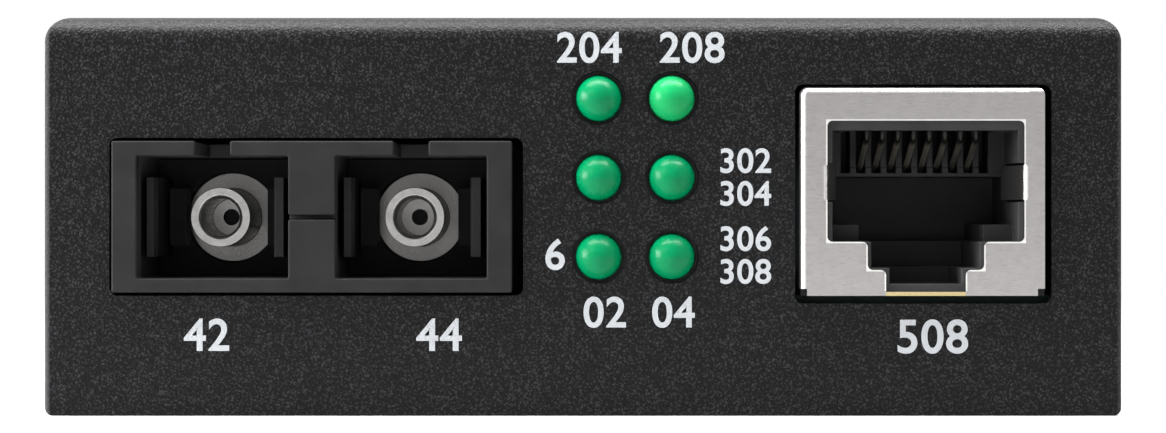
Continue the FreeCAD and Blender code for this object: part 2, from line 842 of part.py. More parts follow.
def transceiver_board():
    """Small board between the barrels' cans and the pins."""
    s = size
    x0 = optic_x - s["optic_width"] / 2 + s["optic_wall"]
    z0 = optic_floor + port_axis - s["optic_wall"] / 2
    keep("transceiver_board", block("transceiver_board", x0, x0 + s["optic_width"] - s["optic_wall"] * 2,
                                    optic_face + barrel_end(),
                                    optic_face + s["optic_length"] - s["optic_wall"],
                                    z0, z0 + s["optic_wall"]))


def transceiver_pins():
    """Row of nine square pins from the small board down through the main board."""
    s = size
    y = pins_y()
    half = s["lead_wide"] / 2
    top = optic_floor + port_axis - s["optic_wall"] / 2
    parts = []
    for i, x in enumerate(pin_columns()):
        parts.append(block("transceiver_pin_%d" % (i + 1), x - half, x + half, y - half, y + half,
                           board_floor - s["lead_through"], top))
    group("transceiver_pins", parts)


def pin_columns():
    count = int(SIZES["optic_pin_count"])
    return [optic_x + (i - (count - 1) / 2) * size["lead_pitch"] for i in range(count)]


def pins_y():
    return optic_face + size["optic_length"] - size["optic_wall"] * 3


def latch_clip(label, x):
    """Moulded clip in a port: a ring at the back, two hooked arms and two guides beside the barrel."""
    s = size
    body = new_body(label)
    ring_back = s["port_deep"]
    ring_face = s["port_deep"] - s["latch_base"]
    sketch = new_sketch(body, "XZ_Plane", -ring_back)
    half_x, half_z = s["port_wide"] / 2 - s["latch_play"], s["port_tall"] / 2 - s["latch_play"]
    rectangle(sketch, -half_x, half_x, -half_z, half_z)
    circle(sketch, 0, 0, s["barrel_flange"] + s["hole_play"])
    pad(body, sketch, s["latch_base"])
    tip, out, thick, barb = s["latch_tip"], s["latch_out"], s["latch_thick"], s["latch_barb"]
    sketch = new_sketch(body, "XY_Plane")
    for sign in (-1, 1):
        arm = [(out, ring_face), (out - thick, ring_face), (out - thick, tip + s["latch_hook"]),
               (out - thick - barb, tip + s["latch_hook"] / 2), (out - thick, tip), (out, tip)]
        outline(sketch, [(sign * x_, y_) for x_, y_ in arm][::sign])
    pad(body, sketch, s["latch_tall"], middle=True)
    sketch = new_sketch(body, "XY_Plane")
    for sign in (-1, 1):
        ends = sorted((sign * s["guide_in"], sign * (s["guide_in"] + s["guide_thick"])), key=num)
        rectangle(sketch, ends[0], ends[1], ring_face - s["guide_long"], ring_face)
    pad(body, sketch, s["guide_tall"], middle=True)
    place(body, x, optic_face, optic_floor + port_axis)


def optical_barrel(label, x):
    """Turned metal barrel: sleeve with its ferrule bore, and the can in the hole of the port wall."""
    s = size
    tip = s["barrel_tip"]
    bore_end = tip + s["barrel_bore_deep"]
    body = turned(label, [
        (s["stub_radius"], -bore_end),
        (s["ferrule_radius"], -bore_end),
        (s["ferrule_radius"], -(tip + s["barrel_mouth"])),
        (s["ferrule_radius"] + s["barrel_mouth"], -tip),
        (s["barrel_radius"], -tip),
        (s["barrel_radius"], -s["port_deep"]),
        (s["barrel_flange"], -s["port_deep"]),
        (s["barrel_flange"], -barrel_end()),
        (s["stub_radius"], -barrel_end()),
    ])
    place(body, x, optic_face, optic_floor + port_axis, ((1, 0, 0), 90))


def fibre_stub(label, x):
    """Ceramic stub that fills the barrel's centre behind the bore."""
    s = size
    start = s["barrel_tip"] + s["barrel_bore_deep"] + s["stub_start"]
    keep(label, rod(label, s["stub_radius"], barrel_end() - start, x,
                    optic_face + barrel_end(), optic_floor + port_axis, ((1, 0, 0), 90)))


# ---------------------------------------------------------------- indicator lamps

def lamp(label, x, z):
    """Round lamp with a rim at its base and a domed end that points forward."""
    s = size
    radius, tip, rim = s["lamp_radius"], s["lamp_length"], s["lamp_rim"]
    shoulder = tip - radius
    dome = [(radius * math.cos(math.radians(tilt)), shoulder + radius * math.sin(math.radians(tilt)))
            for tilt in LAMP_DOME_STATIONS]
    base = [(rim, 0), (rim, s["lamp_rim_thick"]), (radius, s["lamp_rim_thick"])]
    rings = base + dome + [(s["lamp_flat"], tip)]
    keep(label, facet_turned(label, rings, x, lamp_base, z, ((1, 0, 0), 90)))


def lamp_lead_drop(row):
    """How far behind the panel a row's leads turn down to the board."""
    return lamp_base + size["lead_setback"] + row * size["lead_pitch"]


def lamp_leads():
    """Two square leads for each lamp, straight back and then down through the board."""
    s = size
    parts = []
    for x, z, row in lamp_spots:
        path = [(lamp_base, z, 0), (lamp_lead_drop(row), z, 0),
                (lamp_lead_drop(row), board_floor - s["lead_through"], 0)]
        for sign in (-1, 1):
            lead = doc.addObject("Part::Feature", "lamp_lead")
            lead.Shape = bent_strip(path, s["lead_wide"], s["lead_wide"])
            at = FreeCAD.Vector(num(x + sign * s["lead_pitch"] / 2), 0, 0)
            lead.Placement = FreeCAD.Placement(at, FreeCAD.Rotation())
            parts.append(lead)
    group("lamp_leads", parts)


def lamp_holder():
    """Block on the board, behind the panel, with the lamps through it and their rims against its back."""
    s = size
    top = s["lamp_z"] + lamp_pitch_z * 2 + s["holder_margin"]
    face, back = front + s["sheet"] + s["holder_gap"], lamp_base - s["lamp_rim_thick"]
    blank = block("lamp_holder_blank", lamp_x - s["holder_margin"],
                  lamp_x + s["lamp_pitch_x"] + s["holder_margin"], face, back, board_top, top)
    bores = [facet_turned("lamp_bore", [(s["lamp_radius"], 0), (s["lamp_radius"], back - face)],
                          x, back, z, ((1, 0, 0), 90)) for x, z, _ in lamp_spots]
    keep("lamp_holder", cut("lamp_holder", blank, fuse("lamp_bores", bores)))


# ---------------------------------------------------------------- RJ45 jack

def jack_shield():
    """Folded metal shield round the jack, with the stepped mouth and two spring tabs in its face."""
    s = size
    body = new_body("jack_shield")
    half, tall, skin = s["jack_width"] / 2, s["jack_height"], s["jack_sheet"]
    sketch = new_sketch(body, "XZ_Plane")
    rectangle(sketch, -half, half, 0, tall)
    pad(body, sketch, s["jack_length"], reverse=True)
    soften(body, lambda e: lies(e, y=0, x=-half) or lies(e, y=0, z=tall) or lies(e, x=half, z=tall)
           or lies(e, x=-half, z=tall), s["jack_bend"])
    sketch = new_sketch(body, "XZ_Plane", -skin)
    rectangle(sketch, -half + skin, half - skin, skin, tall - skin, s["jack_bend"] - skin)
    pocket(body, sketch, s["jack_length"] - skin * 2)
    # the floor is a strip at the mouth, with the rest open to the board
    sketch = new_sketch(body, "XY_Plane")
    rectangle(sketch, -half + skin, half - skin, s["floor_strip"], s["jack_length"] - skin)
    pocket(body, sketch, skin, reverse=True)
    # stepped mouth, open down to the floor strip
    mid = s["jack_shift"]
    corner = s["mouth_corner"]
    wide, step, slot = s["mouth_wide"] / 2, s["step_wide"] / 2, s["key_slot_wide"] / 2
    right = [(mid + slot, skin, 0), (mid + slot, s["step_floor"], corner),
             (mid + step, s["step_floor"], corner), (mid + step, s["mouth_floor"], corner),
             (mid + wide, s["mouth_floor"], corner),
             (mid + wide, s["mouth_top"], corner)]
    left = [(mid + mid - x, z, r) for x, z, r in reversed(right)]
    sketch = new_sketch(body, "XZ_Plane")
    rounded(sketch, right + left)
    pocket(body, sketch, skin)
    # notches where the spring tabs are folded in, and small notches at the lower corners
    spring_low = s["spring_z"] - s["spring_tall"] / 2
    spring_high = s["spring_z"] + s["spring_tall"] / 2
    notch = wide + s["spring_notch_out"]
    sketch = new_sketch(body, "XZ_Plane")
    for sign in (-1, 1):
        ends = sorted((mid + sign * notch, mid + sign * (wide - s["spring_notch_in"])), key=num)
        rectangle(sketch, ends[0], ends[1], spring_low, spring_high)
        ends = sorted((sign * (half + 1), sign * (half - s["corner_notch"])), key=num)
        rectangle(sketch, ends[0], ends[1], -1, s["corner_notch"])
    pocket(body, sketch, skin)
    # spring tabs: from the notch edge round into the jack
    sketch = new_sketch(body, "XY_Plane", spring_low)
    bend, reach, knee, end = skin + s["spring_bend"], s["spring_reach"], s["spring_knee"], s["spring_end"]
    back = reach - s["spring_return"]
    for sign in (-1, 1):
        root = mid + sign * notch
        outline(sketch, [(root, 0), (root - sign * bend, bend, -sign * bend), (root - sign * reach, knee),
                         (root - sign * back, end), (root - sign * (back - skin), end),
                         (root - sign * (reach - skin), knee),
                         (root - sign * (bend - skin), bend), (root, skin, sign * (bend - skin))])
    pad(body, sketch, s["spring_tall"])
    # legs into the board
    sketch = new_sketch(body, "YZ_Plane")
    rectangle(sketch, leg_y(0), leg_y(1), -(s["board_sheet"] + 0.6), 1.0)
    pad(body, sketch, s["jack_width"], middle=True)
    sketch = new_sketch(body, "XY_Plane", -(s["board_sheet"] + 1.0))
    rectangle(sketch, -half + skin, half - skin, leg_y(0) - 1, leg_y(1) + 1)
    pocket(body, sketch, s["board_sheet"] + 1.0 + skin * 8, reverse=True)
    place(body, jack_x, jack_face, board_top)


def leg_y(end):
    return size["jack_length"] / 2 + (0.75 if end else -0.75)


def contact_x(i):
    return mouth_x + (i - 3.5) * size["contact_pitch"]


def contact_rear(i):
    """Depth of a contact's upright run: two staggered rows behind the insert."""
    return size["jack_length"] - size["contact_rear"] - (0 if i % 2 else size["contact_stagger"])


def jack_insert():
    """Black moulding inside the shield: plug cavity, catch recess, roof pocket and comb."""
    s = size
    body = new_body("jack_insert")
    skin, play, lip = s["jack_sheet"], s["jack_play"], s["insert_lip"]
    half = s["jack_width"] / 2 - skin - play
    mid = s["jack_shift"]
    start = skin + play
    sketch = new_sketch(body, "XZ_Plane", -start)
    rectangle(sketch, -half, half, skin, s["jack_height"] - skin - play, lip)
    pad(body, sketch, s["jack_length"] - s["insert_back"] - start, reverse=True)
    wide = s["plug_wide"] / 2
    comb_low = s["plug_top"] - s["comb_tall"]
    # plug cavity, the upper part that stops at the comb, and the two steps of the catch recess
    steps = ((wide, s["mouth_floor"], comb_low, s["plug_deep"] - start),
             (wide, comb_low - s["insert_lip"], s["plug_top"], s["contact_tip"] - s["contact_drop"] / 2),
             (s["step_wide"] / 2 - lip, s["step_floor"] + lip / 2, s["mouth_floor"] + lip,
              s["plug_deep"] - s["ledge_start"]),
             (s["key_slot_wide"] / 2 - lip, skin * 3, s["step_floor"] + lip,
              s["plug_deep"] - s["ledge_start"] * 2))
    for reach, low, high, deep in steps:
        sketch = new_sketch(body, "XZ_Plane", -start)
        rectangle(sketch, mid - reach, mid + reach, low, high)
        pocket(body, sketch, deep)
    # ledges in the lower corners of the cavity
    sketch = new_sketch(body, "XZ_Plane", -s["plug_deep"])
    for sign in (-1, 1):
        ends = sorted((mid + sign * (wide + play), mid + sign * (wide - s["ledge_wide"])), key=num)
        rectangle(sketch, ends[0], ends[1], s["mouth_floor"] - play, s["mouth_floor"] + s["ledge_tall"])
    pad(body, sketch, s["plug_deep"] - s["ledge_start"])
    # pocket in the roof for the bends of the contacts
    pocket_half = s["contact_pitch"] * 4.4
    roof = s["contact_run"] + s["contact_thick"] / 2
    slot = s["comb_slot"] / 2
    comb_deep = s["contact_tip"] - s["contact_front"]
    sketch = new_sketch(body, "XZ_Plane", -(s["contact_front"] - s["contact_hairpin"] - s["comb_slot"]))
    rectangle(sketch, mid - pocket_half, mid + pocket_half, comb_low + s["comb_slot"], roof)
    pocket(body, sketch, comb_deep)
    # comb that the tips stand in, and the slots that the upper runs leave through
    sketch = new_sketch(body, "XZ_Plane", -s["contact_front"])
    for i in range(10):
        x = mid + (i - 4.5) * s["contact_pitch"]
        rectangle(sketch, x - slot, x + slot, comb_low + lip, roof - s["comb_slot"])
    pocket(body, sketch, comb_deep + slot * 5)
    sketch = new_sketch(body, "XZ_Plane", -s["contact_front"])
    for i in range(8):
        x, half_wire = mid + (i - 3.5) * s["contact_pitch"], s["contact_wide"] / 2
        rectangle(sketch, x - half_wire, x + half_wire, roof - s["contact_thick"], roof)
    pocket(body, sketch, s["jack_length"])
    # slots for the shield's spring tabs
    tall, outer = s["spring_tall"] / 2 + play * 3, s["mouth_wide"] / 2 + s["spring_notch_out"] * 2
    sketch = new_sketch(body, "XZ_Plane", -start)
    for sign in (-1, 1):
        ends = sorted((mid + sign * (wide - lip), mid + sign * outer), key=num)
        rectangle(sketch, ends[0], ends[1], s["spring_z"] - tall, s["spring_z"] + tall)
    pocket(body, sketch, s["spring_end"])
    place(body, jack_x, jack_face, board_top)


def jack_contacts():
    """Eight spring contacts: up behind the insert, forward under its roof, round and down to the comb."""
    s = size
    run, cut_off = s["contact_run"], s["contact_cut"]
    nose = s["contact_front"] - s["contact_hairpin"]
    under = run - s["contact_hairpin"] * 2
    for i in range(8):
        back = contact_rear(i)
        path = [(back, -(s["board_sheet"] + s["lead_through"]), 0), (back, run, 0),
                (nose + cut_off, run, 0), (nose, run - cut_off, 0),
                (nose, under + cut_off, 0), (nose + cut_off, under, 0),
                (s["contact_tip"], run - s["contact_drop"], 0)]
        shaped("jack_contact_%d" % (i + 1), bent_strip(path, s["contact_thick"], s["contact_wide"]),
               contact_x(i), jack_face, board_top)


# ---------------------------------------------------------------- DC inlet

def inlet_body():
    """Moulded inlet with a round collar in the rear panel."""
    s = size
    body = new_body("inlet_body")
    half = s["inlet_width"] / 2
    shoulder = s["inlet_proud"] + s["sheet"] + s["hole_play"]
    sketch = new_sketch(body, "XZ_Plane", shoulder)
    rectangle(sketch, -half, half, -s["inlet_axis"], s["inlet_tall"] - s["inlet_axis"])
    pad(body, sketch, s["inlet_length"] - shoulder)
    sketch = new_sketch(body, "XZ_Plane")
    circle(sketch, 0, 0, s["inlet_collar"])
    pad(body, sketch, shoulder)
    sketch = new_sketch(body, "XZ_Plane")
    circle(sketch, 0, 0, s["inlet_bore"])
    pocket(body, sketch, s["inlet_bore_deep"], reverse=True)
    # slot for the spring leaf, open below, and the hole that holds the pin
    sketch = new_sketch(body, "XY_Plane", -s["inlet_axis"])
    half = s["leaf_wide"] / 2 + s["hole_play"]
    rectangle(sketch, -half, half, -s["inlet_bore_deep"] + s["leaf_root"] - s["leaf_play"],
              -s["leaf_tip"] + s["leaf_play"])
    pocket(body, sketch, s["inlet_axis"], reverse=True)
    sketch = new_sketch(body, "XZ_Plane", s["inlet_bore_deep"])
    circle(sketch, 0, 0, s["inlet_pin"])
    pocket(body, sketch, s["inlet_length"], reverse=True)
    place(body, s["inlet_x"], inlet_face, board_top + s["inlet_axis"])


def inlet_pin():
    """Centre pin, with its tag down through the board at the back."""
    s = size
    back = inlet_face - s["inlet_length"]
    half, axis = s["tag_wide"] / 2, board_top + s["inlet_axis"]
    tag = block("inlet_pin_tag", s["inlet_x"] - half, s["inlet_x"] + half, back - s["tag_thick"], back,
                board_floor - s["lead_through"], axis + s["inlet_pin"])
    stem = rod("inlet_pin_stem", s["inlet_pin"], s["inlet_length"] - s["inlet_pin_inset"],
               s["inlet_x"], back, axis, ((1, 0, 0), -90))
    keep("inlet_pin", fuse("inlet_pin", [stem, tag]))


def inlet_spring():
    """Leaf that presses on the plug's sleeve: along a slot beside the bore and down through the board."""
    s = size
    deep, bore = s["inlet_bore_deep"], s["inlet_bore"]
    root = s["leaf_root"] - deep
    path = [(root, -(s["inlet_axis"] + s["board_sheet"] + s["lead_through"]), 0),
            (root, -(bore + s["leaf_low"]), 0), (-deep / 2, s["leaf_bow"] - bore, 0),
            (-s["leaf_tip"], -(bore + s["leaf_end"]), 0)]
    shaped("inlet_spring", bent_strip(path, s["leaf_thick"], s["leaf_wide"]),
           s["inlet_x"], inlet_face, board_top + s["inlet_axis"])


# ---------------------------------------------------------------- electronics on the board

def legged_chip(label, x, y, wide, deep, tall, count, pitch, all_round):
    """Moulded package with bent legs along two or four sides; z is measured from the board."""
    wide, deep, tall, pitch = num(wide), num(deep), num(tall), num(pitch)
    thick, reach, foot, lift = (num(size[key])
                                for key in ("leg_thick", "leg_reach", "leg_foot", "package_lift"))
    body = Part.makeBox(wide, deep, tall, FreeCAD.Vector(-wide / 2, -deep / 2, lift))
    legs = []
    for quarter in range(4 if all_round else 2):
        half = (deep if all_round and quarter % 2 == 0 else wide) / 2
        path = [(-thick, tall / 2, 0), (reach / 2, tall / 2, 0), (reach / 2, thick / 2, 0),
                (reach + foot, thick / 2, 0)]
        for i in range(count):
            leg = bent_strip(path, thick, pitch * 0.4)
            leg.translate(FreeCAD.Vector((i - (count - 1) / 2) * pitch, half, 0))
            turn = quarter * 90 if all_round else (90 if quarter else -90)
            leg.rotate(FreeCAD.Vector(0, 0, 0), FreeCAD.Vector(0, 0, 1), turn)
            legs.append(leg)
    shaped(label, body.fuse(legs).removeSplitter(), x, y, board_top)


def can(label, x, y, radius, tall):
    """Electrolytic capacitor: a plain sleeved can on the board."""
    keep(label, rod(label, radius, tall, x, y, board_top))


def coil():
    """Shielded power inductor: an eight-sided ferrite block."""
    s = size
    body = new_body("power_inductor")
    sketch = new_sketch(body, "XY_Plane")
    half = s["inductor_half"]
    flat = half - s["inductor_bevel"]
    outline(sketch, [(-flat, -half), (flat, -half), (half, -flat), (half, flat),
                     (flat, half), (-flat, half), (-half, flat), (-half, -flat)])
    pad(body, sketch, s["inductor_tall"])
    place(body, s["inductor_x"], rear - s["inductor_inset"], board_top)


def crystal():
    """Oblong metal can on a wider flat foot."""
    s = size
    body = new_body("clock_crystal")
    half, thick, foot = s["crystal_half"], s["crystal_thick"], s["crystal_foot"]
    sketch = new_sketch(body, "XY_Plane")
    rectangle(sketch, -(half + foot), half + foot, -(thick + foot), thick + foot)
    pad(body, sketch, foot)
    sketch = new_sketch(body, "XY_Plane", foot)
    rectangle(sketch, -half, half, -thick, thick, thick * 0.97)
    pad(body, sketch, s["crystal_tall"] - foot)
    place(body, s["crystal_x"], s["crystal_y"], board_top)


def small_parts(label, wide, deep, tall, spots):
    """Identical small blocks on the board."""
    parts = []
    for i, (x, y) in enumerate(spots):
        parts.append(block("%s_%d" % (label, i + 1), x - wide / 2, x + wide / 2, y - deep / 2, y + deep / 2,
                           board_top, board_top + tall))
    group(label, parts)


def circuit_board():
    """Board with holes for its screws, pins, leads, legs and tags."""
    s = size
    body = new_body("circuit_board")
    sketch = new_sketch(body, "XY_Plane")
    rectangle(sketch, -board_side, board_side, board_front, -board_front)
    for x, y in standoff_spots:
        circle(sketch, x, y, s["board_screw_shank"] + s["hole_play"])
    pad(body, sketch, s["board_sheet"])
    lead = s["lead_wide"] / 2
    square_holes(body, [(x, pins_y()) for x in pin_columns()], lead, lead)
    square_holes(body, [(x + sign * s["lead_pitch"] / 2, lamp_lead_drop(row))
                        for x, _, row in lamp_spots for sign in (-1, 1)], lead, lead)
    square_holes(body, [(contact_x(i), jack_face + contact_rear(i)) for i in range(8)],
                 s["contact_wide"] / 2, s["contact_thick"] / 2)
    leg_x = (s["jack_width"] - s["jack_sheet"]) / 2
    square_holes(body, [(jack_x + sign * leg_x, jack_face + s["jack_length"] / 2) for sign in (-1, 1)],
                 s["jack_sheet"] / 2, 0.75)
    square_holes(body, [(s["inlet_x"], inlet_face - s["inlet_length"] - s["tag_thick"] / 2)],
                 s["tag_wide"] / 2, s["tag_thick"] / 2)
    square_holes(body, [(s["inlet_x"], inlet_face - s["inlet_bore_deep"] + s["leaf_root"])],
                 s["leaf_wide"] / 2, s["leaf_thick"] / 2)
    place(body, 0, 0, board_floor)


def square_holes(body, spots, half_x, half_y):
    sketch = new_sketch(body, "XY_Plane")
    for x, y in spots:
        rectangle(sketch, x - half_x, x + half_x, y - half_y, y + half_y)
    pocket(body, sketch, size["board_sheet"], reverse=True)


upper_shell()
base_plate()
cover_screws()
board_standoffs()
board_screws()
circuit_board()
transceiver_housing()
transceiver_cover()
transceiver_board()
transceiver_pins()
for side_name, port_x in zip(("left", "right"), optic_ports()):
    latch_clip(side_name + "_latch_clip", port_x)
    optical_barrel(side_name + "_optical_barrel", port_x)
    fibre_stub(side_name + "_fibre_stub", port_x)
for number, (spot_x, spot_z, _) in enumerate(lamp_spots):
    lamp("lamp_%d" % (number + 1), spot_x, spot_z)
lamp_leads()
lamp_holder()
jack_shield()
jack_insert()
jack_contacts()
inlet_body()
inlet_pin()
inlet_spring()
chip_x, chip_y = size["chip_x"], size["chip_y"]
legged_chip("converter_chip", chip_x, chip_y, size["chip_wide"], size["chip_wide"], size["chip_tall"],
            6, size["chip_pitch"], True)
legged_chip("settings_memory", size["memory_x"], rear - size["memory_inset"], 3.9, 4.9, 1.5,
            4, size["chip_pitch"], False)
legged_chip("voltage_regulator", size["regulator_x"], rear - size["regulator_inset"],
            3.5, 6.5, 1.6, 3, 2.0, False)
legged_chip("isolation_transformer", jack_x, jack_face + size["jack_length"] + size["transformer_gap"],
            7.0, 12.7, 5.6, 6, 2.0, False)
crystal()
coil()
can("input_capacitor", size["input_can_x"], rear - size["input_can_inset"], 4.0, 10.0)
can("output_capacitor", size["output_can_x"], rear - size["output_can_inset"], 3.15, 7.0)
small_parts("power_diode", 4.3, 2.6, 2.2, [(size["diode_x"], rear - size["diode_inset"])])
row = size["row_pitch"]
small_parts("chip_resistors", 1.6, 0.8, 0.5, [(chip_x - 11 + i * row, optic_rear + 3.5) for i in range(4)]
            + [(chip_x + 17, chip_y - 8 - i * row) for i in range(3)])
small_parts("chip_capacitors", 2.0, 1.25, 0.9, [(chip_x - 13.5, chip_y - 4 + i * row) for i in range(4)]
            + [(size["inductor_x"] + 1 + i * row, rear - size["inductor_inset"] - 7) for i in range(3)])

# ---------------------------------------------------------------- check and export

doc.recompute()
for obj in doc.Objects:
    if "Invalid" in obj.State or "Error" in obj.State:
        raise RuntimeError("%s is in state %s" % (obj.Name, obj.State))
for node in nodes:
    if node.Shape.isNull() or not node.Shape.isValid():
        raise RuntimeError(node.Label + " has no valid shape")
os.makedirs("parts", exist_ok=True)
for node in nodes:
    node.Shape.exportStep("parts/%s.step" % node.Label)
    box = node.Shape.BoundBox
    print("%-22s solids %2d  volume %9.2f  x %.2f..%.2f  y %.2f..%.2f  z %.2f..%.2f" % (
        node.Label, len(node.Shape.Solids), node.Shape.Volume,
        box.XMin, box.XMax, box.YMin, box.YMax, box.ZMin, box.ZMax))
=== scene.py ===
import math

import bmesh
import bpy
from mathutils import Matrix, Vector


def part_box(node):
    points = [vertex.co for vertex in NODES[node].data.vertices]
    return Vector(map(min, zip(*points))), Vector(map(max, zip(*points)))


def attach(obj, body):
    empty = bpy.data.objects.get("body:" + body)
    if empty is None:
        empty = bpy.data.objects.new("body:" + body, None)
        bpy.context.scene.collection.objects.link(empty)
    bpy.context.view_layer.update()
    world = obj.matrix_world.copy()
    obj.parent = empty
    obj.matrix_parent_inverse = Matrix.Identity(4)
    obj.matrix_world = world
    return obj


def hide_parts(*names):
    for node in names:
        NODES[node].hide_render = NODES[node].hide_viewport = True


bl_info = {
    "name": "Fibre Media Converter",
    "version": (1, 0, 0),
    "blender": (4, 5, 0),
    "location": "View3D > Sidebar > Converter",
    "description": "Finishes for a small fibre media converter: coat, ports, lamps, jack and legends",
    "category": "Object",
}

MM = 0.001
ROOT = "root"

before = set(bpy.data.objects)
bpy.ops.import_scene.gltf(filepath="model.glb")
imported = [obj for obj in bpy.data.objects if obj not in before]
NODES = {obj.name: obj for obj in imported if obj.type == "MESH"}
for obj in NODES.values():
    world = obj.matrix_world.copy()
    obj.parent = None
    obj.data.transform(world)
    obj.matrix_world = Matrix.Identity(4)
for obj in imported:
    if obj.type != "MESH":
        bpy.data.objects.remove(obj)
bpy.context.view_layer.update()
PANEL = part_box("upper_shell")[0][1]
JACK_LOW, JACK_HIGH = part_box("jack_shield")
LAMP_LOW, LAMP_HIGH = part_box("lamp_1")

# Colours that nobody would change: red, green, blue and alpha.
WHITE = (1.0, 1.0, 1.0, 1.0)
DUST_ON_COAT = (0.10, 0.10, 0.105, 1.0)
DUST_ON_PLASTIC = (0.22, 0.22, 0.22, 1.0)
DEEP_GREEN = (0.0, 0.12, 0.04, 1.0)
INK_PIT = (0.18, 0.18, 0.19, 1.0)
BRASS = (0.50, 0.41, 0.22, 1.0)
SHADED_NOTCH = (0.015, 0.015, 0.015, 1.0)
# Painted shade for the front bends of the contact wires.
CONTACT_SHADE = (0.02, 0.02, 0.018, 1.0)


# ---------------------------------------------------------------- settings

def length(name, description, default):
    """A length in metres that a user can change."""
    return bpy.props.FloatProperty(name=name, description=description, default=default,
                                   min=0.0, precision=5, unit="LENGTH")


def colour(name, description, default):
    """A colour that a user can change."""
    return bpy.props.FloatVectorProperty(name=name, description=description, default=default,
                                         size=3, min=0.0, max=1.0, subtype="COLOR")


def amount(name, description, default, high=1.0):
    """A plain number from nothing to high."""
    return bpy.props.FloatProperty(name=name, description=description, default=default,
                                   min=0.0, max=high)


class CoatSettings(bpy.types.PropertyGroup):
    colour: colour("Coat colour", "Colour of the powder coat", (0.0032, 0.0032, 0.0036))
    # Painted highlight and painted shade: the crests of the wrinkles take a paler colour than the pits.
    crest_highlight: colour("Glint colour", "Colour of the paler crests in the coat", (0.034, 0.034, 0.036))
    # Painted highlight: a paler coat colour along the front's side edges and top bend, for light on the
    # bends.
    highlit: colour("Sheen colour", "Colour of the coat where its front edges are rubbed",
                   (0.085, 0.085, 0.088))
    grain: length("Grain size", "Width of one wrinkle of the coat", 0.17 * MM)
    relief: length("Relief", "Height of the wrinkles", 0.05 * MM)
    edge: length("Edge radius", "Rounding that the coat gives to a cut edge", 0.16 * MM)
    screw: colour("Screw colour", "Colour of the blackened cover screws", (0.09, 0.09, 0.095))


class TransceiverSettings(bpy.types.PropertyGroup):
    colour: colour("Moulding colour", "Colour of the optical port's moulding", (0.014, 0.014, 0.0148))
    # Painted shade: the latch clips deep in the ports take a colour below the moulding's.
    clip: colour("Clip colour", "Colour of the latch clips inside the ports", (0.010, 0.010, 0.0105))
    # Painted light: a paler moulding colour inside the ports.
    lit_inside: colour("Port colour", "Colour of the moulding inside its ports", (0.040, 0.040, 0.041))
    edge: length("Edge radius", "Rounding of the moulding's edges", 0.12 * MM)
    sleeve: colour("Sleeve colour", "Colour of the ferrule sleeves", (0.37, 0.365, 0.355))
    # Painted shade inside each sleeve; the flange colour below is partly its duller metal and partly
    # painted shade.
    bore_shade: colour("Bore colour", "Colour inside a ferrule sleeve", (0.25, 0.245, 0.24))
    flange: colour("Flange colour", "Colour of the duller flange behind a sleeve", (0.17, 0.165, 0.16))


class LampSettings(bpy.types.PropertyGroup):
    colour: colour("Lens colour", "Colour of the lenses", (0.0, 0.190, 0.068))
    # Painted light: a brighter colour for the glow of the lit lens at the upper right.
    lit_lens: colour("Link lens colour", "Colour of the one yellower lens", (0.008, 0.30, 0.09))
    radius: length("Lens radius", "Radius of a lens", 1.5 * MM)
    rim: length("Rim radius", "Radius of the collar behind a lens", 1.85 * MM)
    rim_thick: length("Rim thickness", "Thickness of that collar", 1.0 * MM)
    across: bpy.props.IntProperty(name="Columns", description="Lamps side by side", default=2, min=1)
    up: bpy.props.IntProperty(name="Rows", description="Lamps one above the other", default=3, min=1)


class JackSettings(bpy.types.PropertyGroup):
    colour: colour("Plate colour", "Colour of the shield's nickel plate", (0.350, 0.336, 0.333))
    edge: length("Edge radius", "Rounding of the insert's edges", 0.08 * MM)
    # Painted highlight: the colour of the line round the mouth and of the front fold.
    bright: colour("Bright edge colour", "Colour of the plate where its edges are gleaming",
                   (0.72, 0.71, 0.69))
    mouth: length("Mouth half width", "Half the width of the widest part of the mouth", 6.3 * MM)
    step: length("Step half width", "Half the width of the step below it", 3.725 * MM)
    key: length("Key slot half width", "Half the width of the slot for a plug's latch", 2.55 * MM)
    top: length("Mouth top", "Height of the mouth's top above the shield's floor", 11.2 * MM)
    ledge: length("Mouth ledge", "Height of the ledges beside the step", 3.45 * MM)
    low: length("Step floor", "Height of the ledges beside the key slot", 1.65 * MM)
    line: length("Edge line", "Width of the bright line round the mouth", 0.07 * MM)
    wire: length("Wire radius", "Radius of a contact wire", 0.19 * MM)
    wire_colour: colour("Wire colour", "Colour of the tarnished contact wires", (0.62, 0.58, 0.50))
    bend: length("Bend radius", "Radius at the bends of a contact wire", 0.55 * MM)


class LegendSettings(bpy.types.PropertyGroup):
    colour: colour("Ink colour", "Colour of the printed numbers", (0.42, 0.435, 0.455))
    thick: length("Ink thickness", "Thickness of the ink", 0.02 * MM)
    weight: amount("Weight", "How much the strokes are fattened, as a share of the height", 0.022)


class StageSettings(bpy.types.PropertyGroup):
    distance: length("Camera distance", "Distance from the front panel to the camera", 0.200)
    shown: length("Shown width", "Width of the picture at the front panel", 74.74 * MM)
    eye: length("Camera height", "Height of the camera above the floor", 12.77 * MM)
    floor: colour("Floor colour", "Colour of the floor", (0.5, 0.5, 0.5))
    glow: amount("Floor glow", "How far the floor shows white by itself", 0.35)
    key: amount("Key light", "Power of the light at the upper left, in watts", 0.45, 100.0)
    top: amount("Top light", "Power of the light overhead, in watts", 4.6, 100.0)
    side: amount("Side light", "Power of the light beside the left side, in watts", 4.5, 100.0)
    fill: amount("Fill light", "Power of the light at the right, in watts", 0.06, 100.0)
    room: amount("Room light", "Strength of the even light from all round", 0.12, 5.0)


